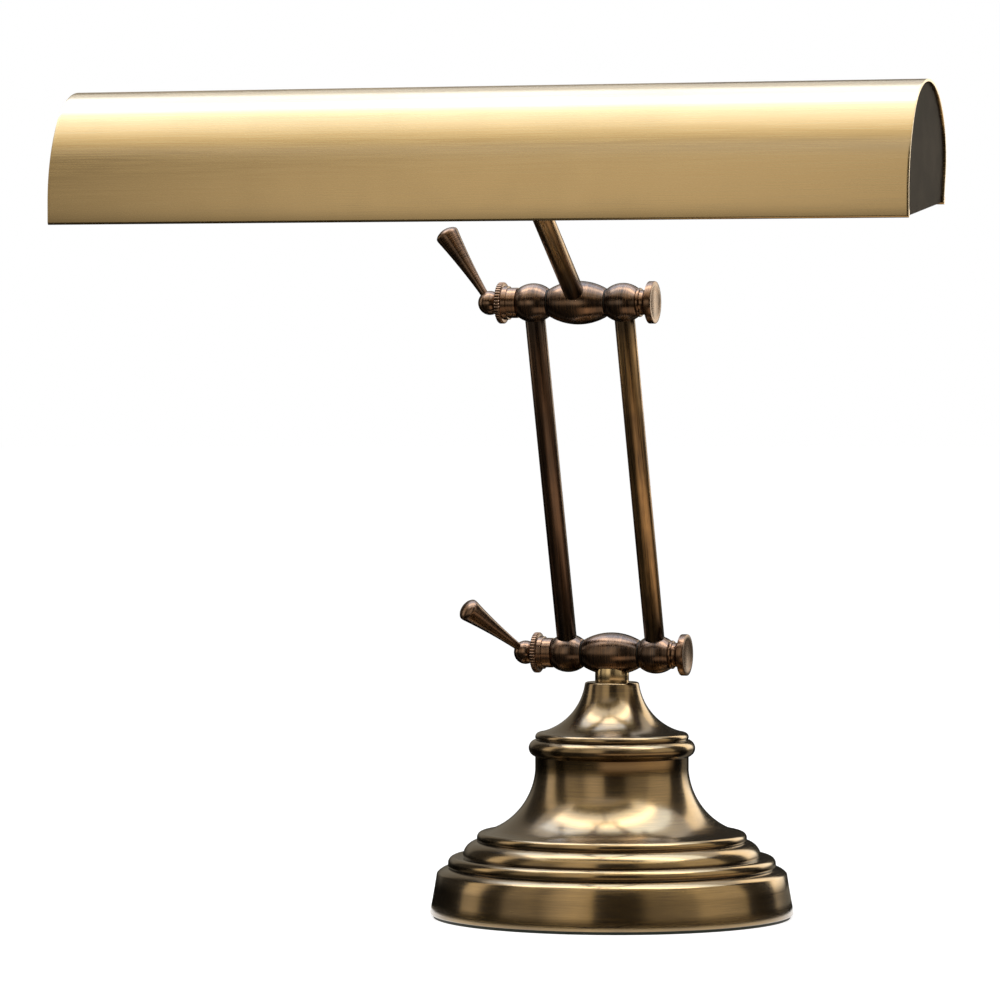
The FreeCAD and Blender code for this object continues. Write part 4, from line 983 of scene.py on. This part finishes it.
# degrees round from the camera, towards the picture's right, and brightness of the cards there
CARDS = ((-179.9, 0.24), (-147, 0.24), (-144, 0.06), (-111, 0.04), (-109, 1.35), (-94, 1.35), (-91, 0.07),
         (-75, 0.07), (-71, 0.66), (-52, 0.56), (-47, 0.42), (-42, 0.66), (-37, 1.00), (-32, 1.12), (-22, 1.12),
         (-17, 1.02), (-13, 0.98), (-11, 0.06), (17, 0.06), (24, 0.36), (53, 0.50), (59, 0.90), (94, 0.90),
         (97, 0.06), (126, 0.06), (128, 2.6), (150, 2.2), (152, 0.03), (177, 0.03), (179.9, 0.24))
CARD_TINT = (1.0, 0.89, 0.70)
# the ring of cards and the table's card, in metres
RING_HOLE, RING_RADIUS, RING_FOOT, RING_TOP = 0.085, 1.0, 0.002, 0.92
WALL_FADE = {"From Min": 0.02, "From Max": 0.20, "To Min": 0.07, "To Max": 1.0}
TABLE_INNER, TABLE_OUTER = (0.16, 0.22), (0.56, 0.44)
TABLE_LEFT, TABLE_RIGHT = (0.43, 0.48), (0.80, 0.72)  # shares of a turn round
TABLE_SHARE = 0.9
# the overhead box: place along Y in metres, and colour there as a share of its brightness
OVERHEAD = ((-1.10, (0.098, 0.079, 0.047)), (-0.85, (0.187, 0.166, 0.121)), (-0.65, (0.275, 0.275, 0.26)),
            (-0.41, (0.30, 0.33, 0.37)), (-0.24, (0.31, 0.34, 0.38)), (-0.18, (0.85, 0.83, 0.78)),
            (0.06, (0.85, 0.83, 0.78)), (0.12, (0.31, 0.35, 0.42)), (0.30, (0.30, 0.36, 0.46)))
BOX_MIDDLE = Vector((0.1, -0.235, 1.3))
BOX_WIDTH, BOX_DEPTH = 2.2, 1.75
# the lamp that lights the floor
KEY_PLACE, KEY_AIM = Vector((0.0, -0.62, 1.35)), Vector((0.0, -0.12, 0.25))
KEY_WIDTH, KEY_DEPTH = 1.9, 1.0
FLOOR_RADIUS = 14.0  # metres
SENSOR_WIDTH = 36.0  # millimetres
FARTHEST_SEEN = 60.0  # metres


class LAMP_OT_stage(bpy.types.Operator):
    """Set the floor, the soft light, the room and the camera"""

    bl_idname = "piano_lamp.stage"
    bl_label = "Stage"

    def floor(self, stage, colours):
        """A plain floor that the camera sees white."""
        bpy.ops.object.select_all(action="DESELECT")
        bpy.ops.mesh.primitive_circle_add(vertices=96, radius=FLOOR_RADIUS, fill_type="NGON")
        floor = bpy.context.object
        floor.name = "floor"
        material, tree, shader = new_material("pale_floor")
        grain = node(tree, "TexNoise", {"Vector": node(tree, "TexCoord").outputs["Object"], "Scale": 40.0})
        pale = colours.floor_white
        set_inputs(tree, shader, {
            "Base Color": mix(tree, grain.outputs["Fac"], rgba(pale, 0.99), rgba(pale)),
            "Roughness": 0.9, "Specular IOR Level": 0.0, "Emission Color": (1, 1, 1, 1),
            "Emission Strength": maths(tree, "MULTIPLY", white_rays(tree), stage.floor_glow)})
        floor.data.materials.append(material)

    def room(self, stage):
        """A white room whose own light is soft."""
        world = bpy.data.worlds.new("room")
        bpy.context.scene.world = world
        world.use_nodes = True
        tree = world.node_tree
        seen = white_rays(tree)
        strength = node(tree, "MapRange", {"Value": seen, "To Min": stage.fill_light, "To Max": 1.0})
        set_inputs(tree, tree.nodes["Background"],
                   {"Color": (1, 1, 1, 1), "Strength": strength.outputs["Result"]})

    def key(self, stage):
        """A soft box over the lamp that lights the floor and shows in no metal."""
        light = bpy.data.lights.new("long_soft_box", "AREA")
        light.shape = "RECTANGLE"
        light.size = KEY_WIDTH
        light.size_y = KEY_DEPTH
        light.energy = stage.key_light
        lamp = bpy.data.objects.new("long_soft_box", light)
        aim = (KEY_AIM - KEY_PLACE).to_track_quat("-Z", "Y").to_matrix().to_4x4()
        lamp.matrix_world = Matrix.Translation(KEY_PLACE) @ aim
        lamp.visible_camera = False
        lamp.visible_glossy = False
        bpy.context.scene.collection.objects.link(lamp)

    def mirror_card(self, card, colour_output, strength=1.0):
        """Makes a card that only the metal sees, as a photographer's cards out of the picture."""
        material, tree, shader = new_material(card.name + "_cloth")
        set_inputs(tree, shader, {
            "Base Color": (0, 0, 0, 1), "Roughness": 1.0, "Specular IOR Level": 0.0,
            "Emission Color": colour_output(tree), "Emission Strength": strength})
        card.data.materials.append(material)
        card.visible_camera = False
        card.visible_diffuse = False
        card.visible_shadow = False
        card.visible_transmission = False

    def overhead(self, stage):
        """A wide pale box over the lamp, for the long highlights."""
        bpy.ops.object.select_all(action="DESELECT")
        bpy.ops.mesh.primitive_plane_add(size=1.0, location=BOX_MIDDLE, rotation=(math.pi, 0, 0))
        card = bpy.context.object
        card.name = "overhead_box"
        bpy.ops.transform.resize(value=(BOX_WIDTH, BOX_DEPTH, 1))
        front = BOX_MIDDLE.y - BOX_DEPTH / 2

        def glow(tree):
            """The box's colour, from its front to its back."""
            place = node(tree, "NewGeometry").outputs["Position"]
            depth = node(tree, "SeparateXYZ", {"Vector": place}).outputs["Y"]
            share = node(tree, "MapRange", {"Value": depth, "From Min": front, "From Max": front + BOX_DEPTH})
            return colour_steps(tree, share.outputs["Result"],
                                [((where - front) / BOX_DEPTH, rgba(tint)) for where, tint in OVERHEAD])

        self.mirror_card(card, glow, stage.box_strength)

    def surround(self, stage, colours):
        """A ring of dark and pale cards round the lamp, which stands in the metal as upright bands."""
        cards = turned("ring_of_cards", [(RING_HOLE, RING_FOOT), (RING_RADIUS, RING_FOOT),
                                         (RING_RADIUS, RING_TOP)], 128)

        def bands(tree):
            """The wall's cards, dimmer near the floor, and the card on the table."""
            parts = node(tree, "SeparateXYZ", {"Vector": node(tree, "TexCoord").outputs["Object"]}).outputs
            turn = maths(tree, "ARCTAN2", parts["X"], maths(tree, "MULTIPLY", parts["Y"], -1.0))
            share = maths(tree, "DIVIDE", maths(tree, "SUBTRACT", turn, stage.camera_azimuth), math.tau)
            share = maths(tree, "FRACT", maths(tree, "ADD", share, 0.5))
            bright = colour_steps(tree, share, [((degrees + 180) / 360, rgba(CARD_TINT, value))
                                                for degrees, value in CARDS])
            wall = node(tree, "MapRange", {"Value": parts["Z"], **WALL_FADE}).outputs["Result"]
            flat = node(tree, "CombineXYZ", {"X": parts["X"], "Y": parts["Y"]}).outputs["Vector"]
            radius = node(tree, "VectorMath", {0: flat}, operation="LENGTH").outputs["Value"]
            near = maths(tree, "MULTIPLY", ramp(tree, radius, *TABLE_INNER), ramp(tree, radius, *TABLE_OUTER))
            aside = maths(tree, "MULTIPLY", ramp(tree, share, *TABLE_LEFT), ramp(tree, share, *TABLE_RIGHT))
            near = maths(tree, "MULTIPLY", maths(tree, "MULTIPLY", near, aside), TABLE_SHARE)
            lit = mix(tree, 1.0, bright, wall, blend="MULTIPLY")
            return mix(tree, near, lit, rgba(colours.table_card))

        self.mirror_card(cards, bands)

    def camera(self, stage):
        """The camera, at its own azimuth and height."""
        data = bpy.data.cameras.new("camera")
        data.sensor_fit = "HORIZONTAL"
        data.sensor_width = SENSOR_WIDTH
        data.lens = stage.camera_lens
        data.clip_end = FARTHEST_SEEN
        camera = bpy.data.objects.new("camera", data)
        bpy.context.scene.collection.objects.link(camera)
        azimuth, distance = stage.camera_azimuth, stage.camera_distance
        eye = Vector((distance * math.sin(azimuth), -distance * math.cos(azimuth), stage.camera_height))
        turn = Euler((math.pi / 2 + stage.camera_pitch, 0, azimuth + stage.camera_aim))
        camera.matrix_world = (Matrix.Translation(eye) @ turn.to_matrix().to_4x4()
                               @ about("Z", stage.camera_roll))
        bpy.context.scene.camera = camera

    def execute(self, context):
        stage, colours = context.scene.lamp_stage, context.scene.lamp_colours
        self.camera(stage)
        self.floor(stage, colours)
        self.room(stage)
        self.key(stage)
        self.overhead(stage)
        self.surround(stage, colours)
        context.scene.view_settings.view_transform = "Standard"
        return {"FINISHED"}


# ---- panel ----

PIECES = (LAMP_OT_base, LAMP_OT_underside, LAMP_OT_swivel, LAMP_OT_beads, LAMP_OT_clamp_bolts, LAMP_OT_levers,
          LAMP_OT_rods, LAMP_OT_hood, LAMP_OT_boss, LAMP_OT_lamp_works, LAMP_OT_stage)


class LAMP_PT_pieces(bpy.types.Panel):
    """Lists the lamp's pieces and its stage"""

    bl_label = "Piano lamp"
    bl_idname = "LAMP_PT_pieces"
    bl_space_type = "VIEW_3D"
    bl_region_type = "UI"
    bl_category = "Piano lamp"

    def draw(self, context):
        for piece in PIECES:
            self.layout.operator(piece.bl_idname)
        for group in (context.scene.lamp_sizes, context.scene.lamp_colours, context.scene.lamp_stage):
            box = self.layout.box()
            for name in group.__annotations__:
                box.prop(group, name)


GROUPS = (("lamp_sizes", LampSizes), ("lamp_colours", LampColours), ("lamp_stage", LampStage))


def register():
    """Registers the settings, the operators and the panel."""
    for name, group in GROUPS:
        bpy.utils.register_class(group)
        setattr(bpy.types.Scene, name, PointerProperty(type=group))
    for piece in PIECES:
        bpy.utils.register_class(piece)
    bpy.utils.register_class(LAMP_PT_pieces)


def unregister():
    """Takes the panel, the operators and the settings out again."""
    bpy.utils.unregister_class(LAMP_PT_pieces)
    for piece in reversed(PIECES):
        bpy.utils.unregister_class(piece)
    for name, group in GROUPS:
        delattr(bpy.types.Scene, name)
        bpy.utils.unregister_class(group)


def main():
    register()
    for piece in PIECES:
        folder, call = piece.bl_idname.split(".")
        getattr(getattr(bpy.ops, folder), call)()


if __name__ == "__main__":
    main()
